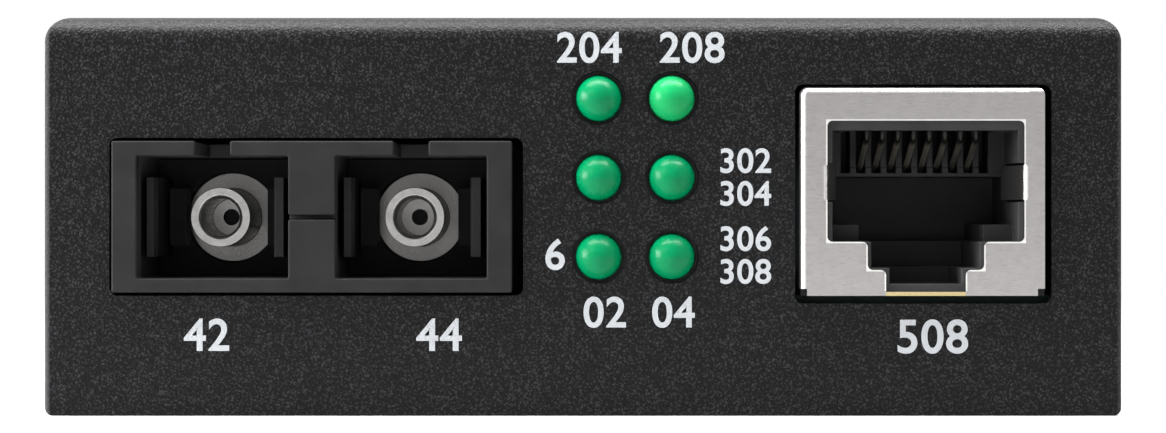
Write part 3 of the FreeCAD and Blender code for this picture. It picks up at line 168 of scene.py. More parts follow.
class ConverterSettings(bpy.types.PropertyGroup):
    coat: bpy.props.PointerProperty(type=CoatSettings)
    transceiver: bpy.props.PointerProperty(type=TransceiverSettings)
    lamps: bpy.props.PointerProperty(type=LampSettings)
    jack: bpy.props.PointerProperty(type=JackSettings)
    legends: bpy.props.PointerProperty(type=LegendSettings)
    stage: bpy.props.PointerProperty(type=StageSettings)


# ---------------------------------------------------------------- node helpers

def add(tree, kind, inputs=None, **settings):
    """A node with its settings and inputs. An input is a value or another node's output."""
    made = tree.nodes.new(kind)
    for key, value in settings.items():
        setattr(made, key, value)
    for key, value in (inputs or {}).items():
        socket = made.inputs[key]
        if isinstance(value, bpy.types.NodeSocket):
            tree.links.new(value, socket)
        else:
            socket.default_value = value
    return made


def maths(tree, operation, first, second=0.0, clamp=False):
    """The output of a Math node."""
    made = add(tree, "ShaderNodeMath", {0: first, 1: second}, operation=operation, use_clamp=clamp)
    return made.outputs[0]


def product(tree, *values):
    """Several values multiplied together."""
    total = values[0]
    for value in values[1:]:
        total = maths(tree, "MULTIPLY", total, value)
    return total


def span(tree, value, low, high, to_low=0.0, to_high=1.0):
    """A value taken from one range to another, and kept inside it."""
    made = add(tree, "ShaderNodeMapRange", {"Value": value, "From Min": low, "From Max": high,
                                            "To Min": to_low, "To Max": to_high})
    return made.outputs["Result"]


def axes(tree, place):
    """X, Y and Z of a place."""
    return add(tree, "ShaderNodeSeparateXYZ", {"Vector": place}).outputs


def noise(tree, place, scale, **inputs):
    """A noise texture."""
    return add(tree, "ShaderNodeTexNoise", {"Vector": place, "Scale": scale, **inputs}).outputs


def blend(tree, factor, first, second):
    """The output of a colour mix."""
    return add(tree, "ShaderNodeMix", {0: factor, 6: first, 7: second}, data_type="RGBA").outputs[2]


def rgba(rgb):
    """A colour with full alpha."""
    return (*rgb, 1.0)


def bare_tree(owner):
    """The emptied node tree of a material or a world."""
    owner.use_nodes = True
    owner.node_tree.nodes.clear()
    return owner.node_tree


def group(name, inputs, outputs, build):
    """A shader node group with named sockets, built once."""
    tree = bpy.data.node_groups.get(name)
    if tree is None:
        tree = bpy.data.node_groups.new(name, "ShaderNodeTree")
        for label, kind, default in inputs:
            socket = tree.interface.new_socket(label, in_out="INPUT", socket_type=kind)
            if default is not None:
                socket.default_value = default
        for label, kind in outputs:
            tree.interface.new_socket(label, in_out="OUTPUT", socket_type=kind)
        build(tree, tree.nodes.new("NodeGroupInput").outputs, tree.nodes.new("NodeGroupOutput").inputs)
    return tree


def use(tree, shared, inputs):
    """A shared group placed in a material with its own values."""
    return add(tree, "ShaderNodeGroup", inputs, node_tree=shared)


# ---------------------------------------------------------------- shared effects

def wrinkles():
    """The leathery skin of a powder coat: its height, and where its crests catch the light."""
    def build(tree, given, out):
        scale = maths(tree, "DIVIDE", 1.0, given["Size"])
        stir = noise(tree, given["Vector"], maths(tree, "MULTIPLY", scale, 0.8), Detail=2.0)
        push = add(tree, "ShaderNodeVectorMath", {0: stir["Color"], 1: (0.5, 0.5, 0.5)},
                   operation="SUBTRACT")
        reach = maths(tree, "MULTIPLY", given["Size"], 1.6)
        push = add(tree, "ShaderNodeVectorMath", {0: push.outputs[0], "Scale": reach}, operation="SCALE")
        stirred = add(tree, "ShaderNodeVectorMath", {0: given["Vector"], 1: push.outputs[0]}).outputs[0]
        cells = add(tree, "ShaderNodeTexVoronoi", {"Vector": stirred, "Scale": scale, "Smoothness": 0.6},
                    feature="SMOOTH_F1")
        broad = noise(tree, stirred, maths(tree, "MULTIPLY", scale, 0.45), Detail=4.0, Roughness=0.62)
        pillow = span(tree, cells.outputs["Distance"], 0.1, 0.85, 1.0, 0.0)
        height = maths(tree, "ADD", maths(tree, "MULTIPLY", pillow, 0.6),
                       maths(tree, "MULTIPLY", broad["Fac"], 0.6))
        tree.links.new(height, out["Height"])
        tree.links.new(span(tree, height, 0.6, 0.95), out["Crest"])

    return group("Powder Coat Wrinkles",
                 [("Vector", "NodeSocketVector", None), ("Size", "NodeSocketFloat", 0.26 * MM)],
                 [("Height", "NodeSocketFloat"), ("Crest", "NodeSocketFloat")], build)


def grain():
    """The fine matt grain of a moulding or a resin board, with a slow drift of shade."""
    def build(tree, given, out):
        scale = maths(tree, "DIVIDE", 1.0, given["Size"])
        fine = noise(tree, given["Vector"], scale, Detail=3.0, Roughness=0.65)
        drift = noise(tree, given["Vector"], maths(tree, "MULTIPLY", scale, 0.04), Detail=2.0)
        tree.links.new(fine["Fac"], out["Height"])
        tree.links.new(span(tree, drift["Fac"], 0.3, 0.7), out["Drift"])

    return group("Moulding Grain",
                 [("Vector", "NodeSocketVector", None), ("Size", "NodeSocketFloat", 0.1 * MM)],
                 [("Height", "NodeSocketFloat"), ("Drift", "NodeSocketFloat")], build)


def brushing():
    """Fine lines along one direction, as rolling and polishing leave on sheet metal."""
    def build(tree, given, out):
        drawn = add(tree, "ShaderNodeVectorMath", {0: given["Vector"], 1: given["Stretch"]},
                    operation="MULTIPLY")
        scale = maths(tree, "DIVIDE", 1.0, given["Size"])
        lines = noise(tree, drawn.outputs[0], scale, Detail=4.0, Roughness=0.7)
        broad = noise(tree, given["Vector"], maths(tree, "MULTIPLY", scale, 0.08), Detail=3.0)
        tree.links.new(lines["Fac"], out["Lines"])
        tree.links.new(span(tree, broad["Fac"], 0.3, 0.7), out["Cloud"])

    return group("Brushed Lines",
                 [("Vector", "NodeSocketVector", None), ("Stretch", "NodeSocketVector", (1.0, 1.0, 0.05)),
                  ("Size", "NodeSocketFloat", 0.06 * MM)],
                 [("Lines", "NodeSocketFloat"), ("Cloud", "NodeSocketFloat")], build)


def dust():
    """Sparse specks of dust and handling marks."""
    apart, patch = 1.4 * MM, 9.0 * MM

    def build(tree, given, out):
        specks = add(tree, "ShaderNodeTexVoronoi", {"Vector": given["Vector"], "Scale": 1.0 / apart})
        near = span(tree, specks.outputs["Distance"], 0.03, 0.07, 1.0, 0.0)
        patches = noise(tree, given["Vector"], 1.0 / patch, Detail=3.0)
        where = span(tree, patches["Fac"], 0.5, 0.62)
        tree.links.new(maths(tree, "MULTIPLY", maths(tree, "MULTIPLY", near, where), given["Amount"],
                             clamp=True), out["Mask"])

    return group("Dust Specks", [("Vector", "NodeSocketVector", None), ("Amount", "NodeSocketFloat", 0.5)],
                 [("Mask", "NodeSocketFloat")], build)


# ---------------------------------------------------------------- finishes

def surface(name, metallic=0.0, **plain):
    """An empty material: its tree, its Principled shader and the place on the piece."""
    material = bpy.data.materials.new(name)
    tree = bare_tree(material)
    shader = add(tree, "ShaderNodeBsdfPrincipled", {"Metallic": metallic})
    for label, value in plain.items():
        shader.inputs[label.replace("_", " ")].default_value = value
    add(tree, "ShaderNodeOutputMaterial", {"Surface": shader.outputs[0]})
    place = add(tree, "ShaderNodeTexCoord").outputs["Object"]
    return material, tree, shader, place


def built_on(material):
    """What a finish that adds to another needs: tree, shader, axes of the place, and colour so far."""
    tree = material.node_tree
    shader = next(node for node in tree.nodes if node.type == "BSDF_PRINCIPLED")
    place = next(node for node in tree.nodes if node.type == "TEX_COORD").outputs["Object"]
    return tree, shader, axes(tree, place), shader.inputs["Base Color"].links[0].from_socket


def relief(tree, shader, height, depth):
    """Bump from a height, with a depth in metres."""
    bump = add(tree, "ShaderNodeBump", {"Height": height, "Distance": depth, "Strength": 1.0})
    tree.links.new(bump.outputs[0], shader.inputs["Normal"])


def coat_finish(settings):
    """Wrinkled black powder coat, with a painted highlight along the front's side edges and its top bend,
    where the bends catch the light.
    """
    material, tree, shader, place = surface("wrinkled_coat", Specular_IOR_Level=0.11)
    skin = use(tree, wrinkles(), {"Vector": place, "Size": settings.grain})
    specks = use(tree, dust(), {"Vector": place, "Amount": 0.25})
    # Painted highlight on the wrinkles' crests, painted shade in their pits.
    shade = blend(tree, skin.outputs["Crest"], rgba(settings.colour), rgba(settings.crest_highlight))
    shade = blend(tree, specks.outputs["Mask"], shade, DUST_ON_COAT)
    low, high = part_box("upper_shell")
    reach = 1.2 * MM
    at = axes(tree, place)
    front = maths(tree, "LESS_THAN", at["Y"], PANEL + reach)
    # Painted highlight along the left and right edges and the top bend of the front.
    left = span(tree, at["X"], low[0] + 0.1 * MM, low[0] + 0.34 * MM, 1.0, 0.0)
    right = span(tree, at["X"], high[0] - 0.3 * MM, high[0] - 0.1 * MM, 0.0, 0.25)
    bend = span(tree, at["Z"], high[2] - 1.0 * MM, high[2] - 0.6 * MM, 0.0, 0.22)
    highlit = maths(tree, "MAXIMUM", left, maths(tree, "MAXIMUM", right, bend))
    shade = blend(tree, maths(tree, "MULTIPLY", front, highlit), shade, rgba(settings.highlit))
    tree.links.new(shade, shader.inputs["Base Color"])
    tree.links.new(span(tree, skin.outputs["Height"], 0.3, 0.9, 0.46, 0.34), shader.inputs["Roughness"])
    relief(tree, shader, skin.outputs["Height"], settings.relief)
    return material


def moulding_finish(name, shade, size=0.09 * MM, rough=0.5, level=0.4, worn=0.3):
    """Fine matt moulded plastic."""
    depth = 0.006 * MM
    material, tree, shader, place = surface(name, Specular_IOR_Level=level)
    skin = use(tree, grain(), {"Vector": place, "Size": size})
    specks = use(tree, dust(), {"Vector": place, "Amount": worn})
    paler = tuple(min(1.0, part * 1.25 + 0.002) for part in shade)
    tone = blend(tree, skin.outputs["Drift"], rgba(shade), rgba(paler))
    tone = blend(tree, specks.outputs["Mask"], tone, DUST_ON_PLASTIC)
    tree.links.new(tone, shader.inputs["Base Color"])
    tree.links.new(span(tree, skin.outputs["Height"], 0.3, 0.7, rough - 0.06, rough + 0.06),
                   shader.inputs["Roughness"])
    relief(tree, shader, skin.outputs["Height"], depth)
    return material


def metal_finish(name, shade, stretch, rough=0.3, depth=0.0015 * MM, cloud=0.12):
    """Plated or turned metal with fine lines along one direction."""
    line = 0.05 * MM
    material, tree, shader, place = surface(name, metallic=1.0)
    lines = use(tree, brushing(), {"Vector": place, "Stretch": stretch, "Size": line})
    darker = tuple(part * (1.0 - cloud * 2) for part in shade)
    tone = blend(tree, lines.outputs["Cloud"], rgba(darker), rgba(shade))
    tree.links.new(tone, shader.inputs["Base Color"])
    tree.links.new(span(tree, lines.outputs["Lines"], 0.3, 0.7, rough - 0.08, rough + 0.1),
                   shader.inputs["Roughness"])
    relief(tree, shader, lines.outputs["Lines"], depth)
    return material


def lens_finish(settings):
    """Diffused green resin, with the one lens at the upper right painted brighter and a little yellower, as
    painted light for its glow when lit.
    """
    material, tree, shader, place = surface("lamp_resin", Specular_IOR_Level=0.12, Subsurface_Weight=0.25,
                                            Subsurface_Scale=0.6 * MM)
    at = axes(tree, place)
    # Painted light for the glow of the lit lens at the upper right.
    right = maths(tree, "GREATER_THAN", at["X"], LAMP_LOW[0] + settings.radius * 3.1)
    top = maths(tree, "GREATER_THAN", at["Z"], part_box("lamp_5")[0][2])
    tone = blend(tree, maths(tree, "MULTIPLY", right, top), rgba(settings.colour), rgba(settings.lit_lens))
    cloud = noise(tree, place, 1.0 / (0.9 * MM), Detail=2.0)["Fac"]
    tone = blend(tree, span(tree, cloud, 0.3, 0.7, 0.0, 0.12), tone, DEEP_GREEN)
    tree.links.new(tone, shader.inputs["Base Color"])
    tree.links.new(span(tree, cloud, 0.3, 0.7, 0.22, 0.32), shader.inputs["Roughness"])
    relief(tree, shader, cloud, 0.004 * MM)
    return material


def ink_finish(settings, coat):
    """White printing ink that follows the wrinkles under it and lets a few pits show."""
    material, tree, shader, place = surface("legend_ink", Specular_IOR_Level=0.3)
    height = use(tree, wrinkles(), {"Vector": place, "Size": coat.grain}).outputs["Height"]
    pits = span(tree, height, 0.16, 0.34, 1.0, 0.0)
    shade = blend(tree, pits, rgba(settings.colour), INK_PIT)
    tree.links.new(shade, shader.inputs["Base Color"])
    tree.links.new(span(tree, height, 0.2, 1.0, 0.6, 0.45), shader.inputs["Roughness"])
    relief(tree, shader, height, coat.relief * 0.6)
    return material


# ---------------------------------------------------------------- pieces

def settle(piece, slot, material, *nodes):
    """Gives a piece its finish and has it stand for CAD nodes."""
    piece.data.materials.clear()
    piece.data.materials.append(material)
    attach(piece, ROOT)
    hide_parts(*nodes)


def finish_nodes(material, *names):
    """Gives CAD nodes that stay as they are their finish."""
    for name in names:
        for slot in NODES[name].material_slots:
            slot.material = material


def new_piece(name, data):
    """An object in the scene."""
    piece = bpy.data.objects.new(name, data)
    bpy.context.scene.collection.objects.link(piece)
    return piece


def plain_mesh(piece, **how):
    """The plain mesh that a piece's modifiers, tree or text make."""
    graph = bpy.context.evaluated_depsgraph_get()
    return bpy.data.meshes.new_from_object(piece.evaluated_get(graph), depsgraph=graph, **how)


def applied(piece):
    """The piece with its modifiers turned into plain mesh."""
    mesh = plain_mesh(piece, preserve_all_data_layers=True)
    piece.modifiers.clear()
    piece.data = mesh
    return piece


def facet_shaded(piece):
    """Smooth faces with crisp edges where they meet at more than an angle."""
    crisp = math.radians(32)
    mesh = piece.data
    mesh.shade_smooth()
    form = bmesh.new()
    form.from_mesh(mesh)
    for edge in form.edges:
        edge.smooth = len(edge.link_faces) != 2 or edge.calc_face_angle() < crisp
    form.to_mesh(mesh)
    form.free()
    return piece


def dressed(name, node, edge):
    """A copy of a CAD node with its facets joined and its sharp edges rounded, if they are to be."""
    flat, sharp = math.radians(0.6), math.radians(38)
    shell = bmesh.new()
    shell.from_mesh(NODES[node].data)
    bmesh.ops.remove_doubles(shell, verts=shell.verts, dist=0.001 * MM)
    bmesh.ops.dissolve_limit(shell, angle_limit=flat, verts=shell.verts, edges=shell.edges)
    mesh = bpy.data.meshes.new(name)
    shell.to_mesh(mesh)
    shell.free()
    mesh.shade_smooth()
    piece = new_piece(name, mesh)
    if edge <= 0.0:
        return facet_shaded(piece)
    bevel = piece.modifiers.new("edges", "BEVEL")
    bevel.width = edge
    bevel.segments = 3
    bevel.limit_method = "ANGLE"
    bevel.angle_limit = sharp
    bevel.miter_outer = "MITER_ARC"
    bevel.use_clamp_overlap = True
    weighted = piece.modifiers.new("normals", "WEIGHTED_NORMAL")
    weighted.weight = 100
    weighted.keep_sharp = True
    return applied(piece)


def scene_settings():
    """The sizes and colours that a user can change."""
    return bpy.context.scene.converter


def interface(tree, inputs):
    """Named inputs for a geometry tree, and its geometry output."""
    made = {}
    for label, kind in inputs:
        made[label] = tree.interface.new_socket(label, in_out="INPUT", socket_type=kind).identifier
    tree.interface.new_socket("Geometry", in_out="OUTPUT", socket_type="NodeSocketGeometry")
    return made, tree.nodes.new("NodeGroupInput").outputs, tree.nodes.new("NodeGroupOutput").inputs


def run_tree(piece, tree, sockets, values):
    """Runs a geometry tree on a piece and keeps its plain mesh."""
    modifier = piece.modifiers.new(tree.name, "NODES")
    modifier.node_group = tree
    for label, value in values.items():
        modifier[sockets[label]] = value
    mesh = plain_mesh(piece)
    name = piece.name
    bpy.data.objects.remove(piece)
    mesh.name = name
    return new_piece(name, mesh)


def rod(tree, radius, tall, sides=48):
    """A cylinder's geometry, upright at the origin."""
    return add(tree, "GeometryNodeMeshCylinder",
               {"Vertices": sides, "Radius": radius, "Depth": tall}).outputs["Mesh"]


def shifted(tree, thing, axis, by, turn=(0.0, 0.0, 0.0)):
    """Geometry turned, and moved along one axis."""
    away = add(tree, "ShaderNodeCombineXYZ", {axis: by})
    return add(tree, "GeometryNodeTransform", {"Geometry": thing, "Translation": away.outputs[0],
                                               "Rotation": turn}).outputs["Geometry"]


def joined(tree, *things):
    """Several geometries as one."""
    whole = add(tree, "GeometryNodeJoinGeometry")
    for thing in things:
        tree.links.new(thing, whole.inputs[0])
    return whole.outputs["Geometry"]


def repeated(tree, points, thing):
    """One thing at each point, as real geometry."""
    placed = add(tree, "GeometryNodeInstanceOnPoints", {"Points": points, "Instance": thing})
    return add(tree, "GeometryNodeRealizeInstances", {"Geometry": placed.outputs[0]}).outputs["Geometry"]


def finished(tree, thing, material, out, smooth=True):
    """Gives a tree's result its material and sends it out."""
    if smooth:
        thing = add(tree, "GeometryNodeSetShadeSmooth", {"Geometry": thing}).outputs["Geometry"]
    done = add(tree, "GeometryNodeSetMaterial", {"Geometry": thing, "Material": material})
    tree.links.new(done.outputs["Geometry"], out["Geometry"])


def screw_tree():
    """Countersunk screws with a hex socket, one at each point."""
    tree = bpy.data.node_groups.new("Countersunk Screws", "GeometryNodeTree")
    sockets, given, out = interface(tree, [
        ("Geometry", "NodeSocketGeometry"), ("Head Radius", "NodeSocketFloat"),
        ("Shank Radius", "NodeSocketFloat"), ("Head Height", "NodeSocketFloat"),
        ("Length", "NodeSocketFloat"), ("Socket Radius", "NodeSocketFloat"),
        ("Socket Depth", "NodeSocketFloat"), ("Metal", "NodeSocketMaterial")])
    head = add(tree, "GeometryNodeMeshCone", {"Vertices": 48, "Radius Top": given["Shank Radius"],
                                              "Radius Bottom": given["Head Radius"],
                                              "Depth": given["Head Height"]})
    socket = rod(tree, given["Socket Radius"], maths(tree, "MULTIPLY", given["Socket Depth"], 2.0), sides=6)
    bored = add(tree, "GeometryNodeMeshBoolean", {"Mesh 1": head.outputs["Mesh"], "Mesh 2": socket},
                operation="DIFFERENCE", solver="EXACT")
    stem = rod(tree, given["Shank Radius"], maths(tree, "SUBTRACT", given["Length"], given["Head Height"]))
    middle = maths(tree, "MULTIPLY", maths(tree, "ADD", given["Length"], given["Head Height"]), 0.5)
    screw = joined(tree, bored.outputs["Mesh"], shifted(tree, stem, "Z", middle))
    finished(tree, repeated(tree, given["Geometry"], screw), given["Metal"], out, smooth=False)
    return tree, sockets


class CONVERTER_OT_case(bpy.types.Operator):
    """Coats the upper shell and the base plate"""
    bl_idname = "converter.case"
    bl_label = "Case"

    def execute(self, context):
        coat = scene_settings().coat
        material = coat_finish(coat)
        settle(dressed("coated_shell", "upper_shell", coat.edge), "black_coat", material, "upper_shell")
        settle(dressed("coated_base", "base_plate", coat.edge), "black_coat", material, "base_plate")
        blackened = metal_finish("blackened_screw", coat.screw, (1.0, 1.0, 1.0), rough=0.38)
        low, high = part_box("cover_screws")
        head = 2.3 * MM
        corners = [(x, y, low[2]) for x in (low[0] + head, high[0] - head)
                   for y in (low[1] + head, high[1] - head)]
        spots = bpy.data.meshes.new("cover_fixings")
        spots.from_pydata(corners, [], [])
        tree, sockets = screw_tree()
        piece = run_tree(new_piece("cover_fixings", spots), tree, sockets, {
            "Head Radius": head, "Shank Radius": 1.25 * MM, "Head Height": 1.05 * MM,
            "Length": high[2] - low[2], "Socket Radius": 0.92 * MM, "Socket Depth": 0.8 * MM,
            "Metal": blackened})
        settle(facet_shaded(piece), "black_screw", blackened, "cover_screws")
        return {"FINISHED"}


def sleeve_finish(settings):
    """Turned steel, shiny on the nose of each sleeve, with painted shade inside each sleeve, and the flange
    behind it darker, partly as its duller metal and partly as painted shade.
    """
    bore_radius, tube_radius, lip, flange_ahead = 1.37 * MM, 1.7 * MM, 0.35 * MM, 0.3 * MM
    material = metal_finish("turned_sleeve", settings.sleeve, (1.0, 0.03, 1.0))
    tree, shader, at, tone = built_on(material)
    low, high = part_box("left_optical_barrel")
    rise = maths(tree, "SUBTRACT", at["Z"], (low[2] + high[2]) / 2)
    from_left = maths(tree, "SUBTRACT", at["X"], (low[0] + high[0]) / 2)
    from_right = maths(tree, "SUBTRACT", from_left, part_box("right_optical_barrel")[0][0] - low[0])
    near = maths(tree, "MINIMUM", maths(tree, "ABSOLUTE", from_left), maths(tree, "ABSOLUTE", from_right))
    far = maths(tree, "ADD", maths(tree, "MULTIPLY", near, near), maths(tree, "MULTIPLY", rise, rise))
    bore_shade = maths(tree, "MULTIPLY", maths(tree, "LESS_THAN", far, bore_radius ** 2),
                 maths(tree, "GREATER_THAN", at["Y"], low[1] + lip))
    clip_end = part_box("left_latch_clip")[1][1]
    flange = maths(tree, "MULTIPLY", maths(tree, "GREATER_THAN", far, tube_radius ** 2),
                   maths(tree, "GREATER_THAN", at["Y"], clip_end - flange_ahead))
    # Painted shade inside each sleeve and, partly, on the flange behind it.
    tone = blend(tree, bore_shade, tone, rgba(settings.bore_shade))
    tree.links.new(blend(tree, flange, tone, rgba(settings.flange)), shader.inputs["Base Color"])
    return material


def port_finish(settings):
    """Matt moulding, painted paler inside the ports as painted light, where only weak light reaches."""
    material = moulding_finish("port_moulding", settings.colour, level=0.1, rough=0.55)
    tree, shader, at, tone = built_on(material)
    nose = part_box("transceiver_housing")[0][1]
    # Painted light on the moulding inside the ports.
    deep = maths(tree, "GREATER_THAN", at["Y"], nose + 1.2 * MM)
    tree.links.new(blend(tree, deep, tone, rgba(settings.lit_inside)), shader.inputs["Base Color"])
    return material


class CONVERTER_OT_transceiver(bpy.types.Operator):
    """Finishes the optical transceiver: moulding, latch clips and ferrule sleeves"""
    bl_idname = "converter.transceiver"
    bl_label = "Optical transceiver"

    def execute(self, context):
        settings = scene_settings().transceiver
        moulding = port_finish(settings)
        settle(dressed("port_body", "transceiver_housing", settings.edge), "black_moulding", moulding,
               "transceiver_housing")
        sleeve = sleeve_finish(settings)
        # Painted shade on the latch clips deep in the ports.
        shaded_clip = moulding_finish("clip_moulding", settings.clip, level=0.1, rough=0.5)
        for hand in ("left", "right"):
            finish_nodes(shaded_clip, hand + "_latch_clip")
            settle(dressed(hand + "_ferrule_sleeve", hand + "_optical_barrel", settings.edge * 0.4),
                   "barrel_metal", sleeve, hand + "_optical_barrel")
        finish_nodes(moulding, "transceiver_cover")
        stub = moulding_finish("fibre_stub", (0.006, 0.006, 0.0065), rough=0.3, level=0.1, worn=0.0)
        finish_nodes(stub, "left_fibre_stub", "right_fibre_stub")
        return {"FINISHED"}


def lamp_grid_tree():
    """Round-nosed lenses with a collar, in rows and columns on the panel."""
    tree = bpy.data.node_groups.new("Lamp Grid", "GeometryNodeTree")
    sockets, given, out = interface(tree, [
        ("Geometry", "NodeSocketGeometry"), ("Columns", "NodeSocketInt"), ("Rows", "NodeSocketInt"),
        ("First Lamp", "NodeSocketVector"), ("Column Step", "NodeSocketVector"),
        ("Row Step", "NodeSocketVector"), ("Lens Radius", "NodeSocketFloat"),
        ("Lens Length", "NodeSocketFloat"), ("Collar Radius", "NodeSocketFloat"),
        ("Collar Thickness", "NodeSocketFloat"), ("Resin", "NodeSocketMaterial")])
    facing = (math.radians(90), 0.0, 0.0)
    radius, tall, thick = given["Lens Radius"], given["Lens Length"], given["Collar Thickness"]
    dome = add(tree, "GeometryNodeMeshUVSphere", {"Segments": 48, "Rings": 24, "Radius": radius})
    straight = maths(tree, "SUBTRACT", tall, radius)
    middle = maths(tree, "ADD", radius, maths(tree, "MULTIPLY", straight, 0.5))
    base = maths(tree, "SUBTRACT", tall, maths(tree, "MULTIPLY", thick, 0.5))
    lens = joined(tree, shifted(tree, dome.outputs["Mesh"], "Y", radius, facing),
                  shifted(tree, rod(tree, radius, straight), "Y", middle, facing),
                  shifted(tree, rod(tree, given["Collar Radius"], thick), "Y", base, facing))
    row = add(tree, "GeometryNodeMeshLine", {"Count": given["Columns"],
                                             "Start Location": given["First Lamp"],
                                             "Offset": given["Column Step"]})
    column = add(tree, "GeometryNodeMeshLine", {"Count": given["Rows"], "Offset": given["Row Step"]})
    places = repeated(tree, row.outputs["Mesh"], column.outputs["Mesh"])
    finished(tree, repeated(tree, places, lens), given["Resin"], out)
    return tree, sockets


class CONVERTER_OT_lamps(bpy.types.Operator):
    """Sets the six lamp lenses in the panel"""
    bl_idname = "converter.lamps"
    bl_label = "Indicator lamps"

    def execute(self, context):
        settings = scene_settings().lamps
        resin = lens_finish(settings)
        centre = [(LAMP_LOW[k] + LAMP_HIGH[k]) / 2 for k in range(3)]
        next_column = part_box("lamp_2")[0][0] - LAMP_LOW[0]
        next_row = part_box("lamp_3")[0][2] - LAMP_LOW[2]
        tree, sockets = lamp_grid_tree()
        piece = new_piece("lamp_lenses", bpy.data.meshes.new("lamp_lenses"))
        piece = run_tree(piece, tree, sockets, {
            "Columns": settings.across, "Rows": settings.up,
            "First Lamp": (centre[0], LAMP_LOW[1], centre[2]), "Column Step": (next_column, 0.0, 0.0),
            "Row Step": (0.0, 0.0, next_row), "Lens Radius": settings.radius,
            "Lens Length": LAMP_HIGH[1] - LAMP_LOW[1], "Collar Radius": settings.rim,
            "Collar Thickness": settings.rim_thick, "Resin": resin})
        settle(piece, "lamp_green", resin, *("lamp_%d" % (i + 1) for i in range(6)))
        finish_nodes(moulding_finish("holder_moulding", (0.02, 0.02, 0.021)), "lamp_holder")
        tinned = metal_finish("tinned_lead", (0.62, 0.62, 0.61), (1.0, 0.1, 1.0))
        finish_nodes(tinned, "lamp_leads")
        return {"FINISHED"}


def nickel_finish(settings):
    """Brushed nickel plate, with painted highlights round its mouth and along its front fold, bare brass
    along the strip in the mouth, and painted shade in the notches at its lower corners.
    """
    material = metal_finish("nickel_plate", settings.colour, (0.04, 1.0, 1.0), depth=0.003 * MM, cloud=0.04)
    tree, shader, at, plated = built_on(material)
    middle = (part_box("jack_contact_1")[0][0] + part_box("jack_contact_8")[1][0]) / 2
    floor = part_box("isolation_transformer")[0][2]
    plate, strip, notch_wide, notch_tall = 0.2 * MM, 0.25 * MM, 0.5 * MM, 0.45 * MM
    across = maths(tree, "ABSOLUTE", maths(tree, "SUBTRACT", at["X"], middle))
    away = None
    for half, low in ((settings.mouth, settings.ledge), (settings.step, settings.low),
                      (settings.key, strip)):
        rise = maths(tree, "SUBTRACT", at["Z"], floor + (low + settings.top) / 2)
        past = maths(tree, "SUBTRACT", maths(tree, "ABSOLUTE", rise), (settings.top - low) / 2)
        this = maths(tree, "MAXIMUM", maths(tree, "SUBTRACT", across, half), past)
        away = this if away is None else maths(tree, "MINIMUM", away, this)
    back = maths(tree, "SUBTRACT", at["Y"], JACK_LOW[1])
    # Painted highlight round the mouth and on the fold at the left and top, where the stamped edges and the
    # bend catch the light.
    rim = product(tree, span(tree, away, settings.line, settings.line * 1.5, 1.0, 0.0),
                  span(tree, back, 0.1 * MM, 0.15 * MM, 1.0, 0.0),
                  maths(tree, "GREATER_THAN", at["Z"], floor + 0.3 * MM))
    fold = product(tree, span(tree, back, 0.008 * MM, 0.03 * MM), maths(tree, "LESS_THAN", back, plate),
                   maths(tree, "LESS_THAN", at["X"], JACK_HIGH[0] - 1.0 * MM), 0.4)
    plated = blend(tree, maths(tree, "MAXIMUM", rim, fold), plated, rgba(settings.bright))
    bare = product(tree, maths(tree, "LESS_THAN", across, settings.key),
                   maths(tree, "LESS_THAN", at["Z"], floor + 0.27 * MM),
                   maths(tree, "LESS_THAN", back, 0.06 * MM))
    plated = blend(tree, bare, plated, BRASS)
    # Painted shade in the notches at the shield's lower corners.
    sides = maths(tree, "ABSOLUTE", maths(tree, "SUBTRACT", at["X"], (JACK_LOW[0] + JACK_HIGH[0]) / 2))
    notch = product(tree, maths(tree, "GREATER_THAN", sides, (JACK_HIGH[0] - JACK_LOW[0]) / 2 - notch_wide),
                    maths(tree, "LESS_THAN", at["Z"], floor + notch_tall),
                    maths(tree, "GREATER_THAN", back, 0.1 * MM))
    tree.links.new(blend(tree, notch, plated, SHADED_NOTCH), shader.inputs["Base Color"])
    return material


def contact_finish(settings):
    """Dull gold wire, with painted shade at the front bends."""
    material = metal_finish("contact_plating", settings.wire_colour, (1.0, 0.1, 1.0), rough=0.4)
    tree, shader, at, plated = built_on(material)
    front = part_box("jack_contact_1")[0][1]
    # Painted shade: the front bends of the wires take a near black colour.
    unshaded = span(tree, at["Y"], front + 0.35 * MM, front + 1.0 * MM)
    tree.links.new(blend(tree, unshaded, CONTACT_SHADE, plated), shader.inputs["Base Color"])
    return material


def contact_wire_tree():
    """Bent round wires side by side: one path, rounded at its bends, swept and repeated."""
    tree = bpy.data.node_groups.new("Contact Wires", "GeometryNodeTree")
    sockets, given, out = interface(tree, [
        ("Geometry", "NodeSocketGeometry"), ("Wires", "NodeSocketInt"), ("Step", "NodeSocketVector"),
        ("Wire Radius", "NodeSocketFloat"), ("Bend Radius", "NodeSocketFloat"),
        ("Metal", "NodeSocketMaterial")])
    path = add(tree, "GeometryNodeMeshToCurve", {"Mesh": given["Geometry"]})
    bends = add(tree, "GeometryNodeFilletCurve", {"Curve": path.outputs["Curve"], "Count": 6,
                                                  "Radius": given["Bend Radius"],
                                                  "Limit Radius": True}, mode="POLY")
    ring = add(tree, "GeometryNodeCurvePrimitiveCircle", {"Resolution": 12, "Radius": given["Wire Radius"]})
    wire = add(tree, "GeometryNodeCurveToMesh", {"Curve": bends.outputs["Curve"],
                                                 "Profile Curve": ring.outputs["Curve"], "Fill Caps": True})
    spots = add(tree, "GeometryNodeMeshLine", {"Count": given["Wires"], "Offset": given["Step"]})
    wires = repeated(tree, spots.outputs["Mesh"], wire.outputs["Mesh"])
    finished(tree, wires, given["Metal"], out)
    return tree, sockets


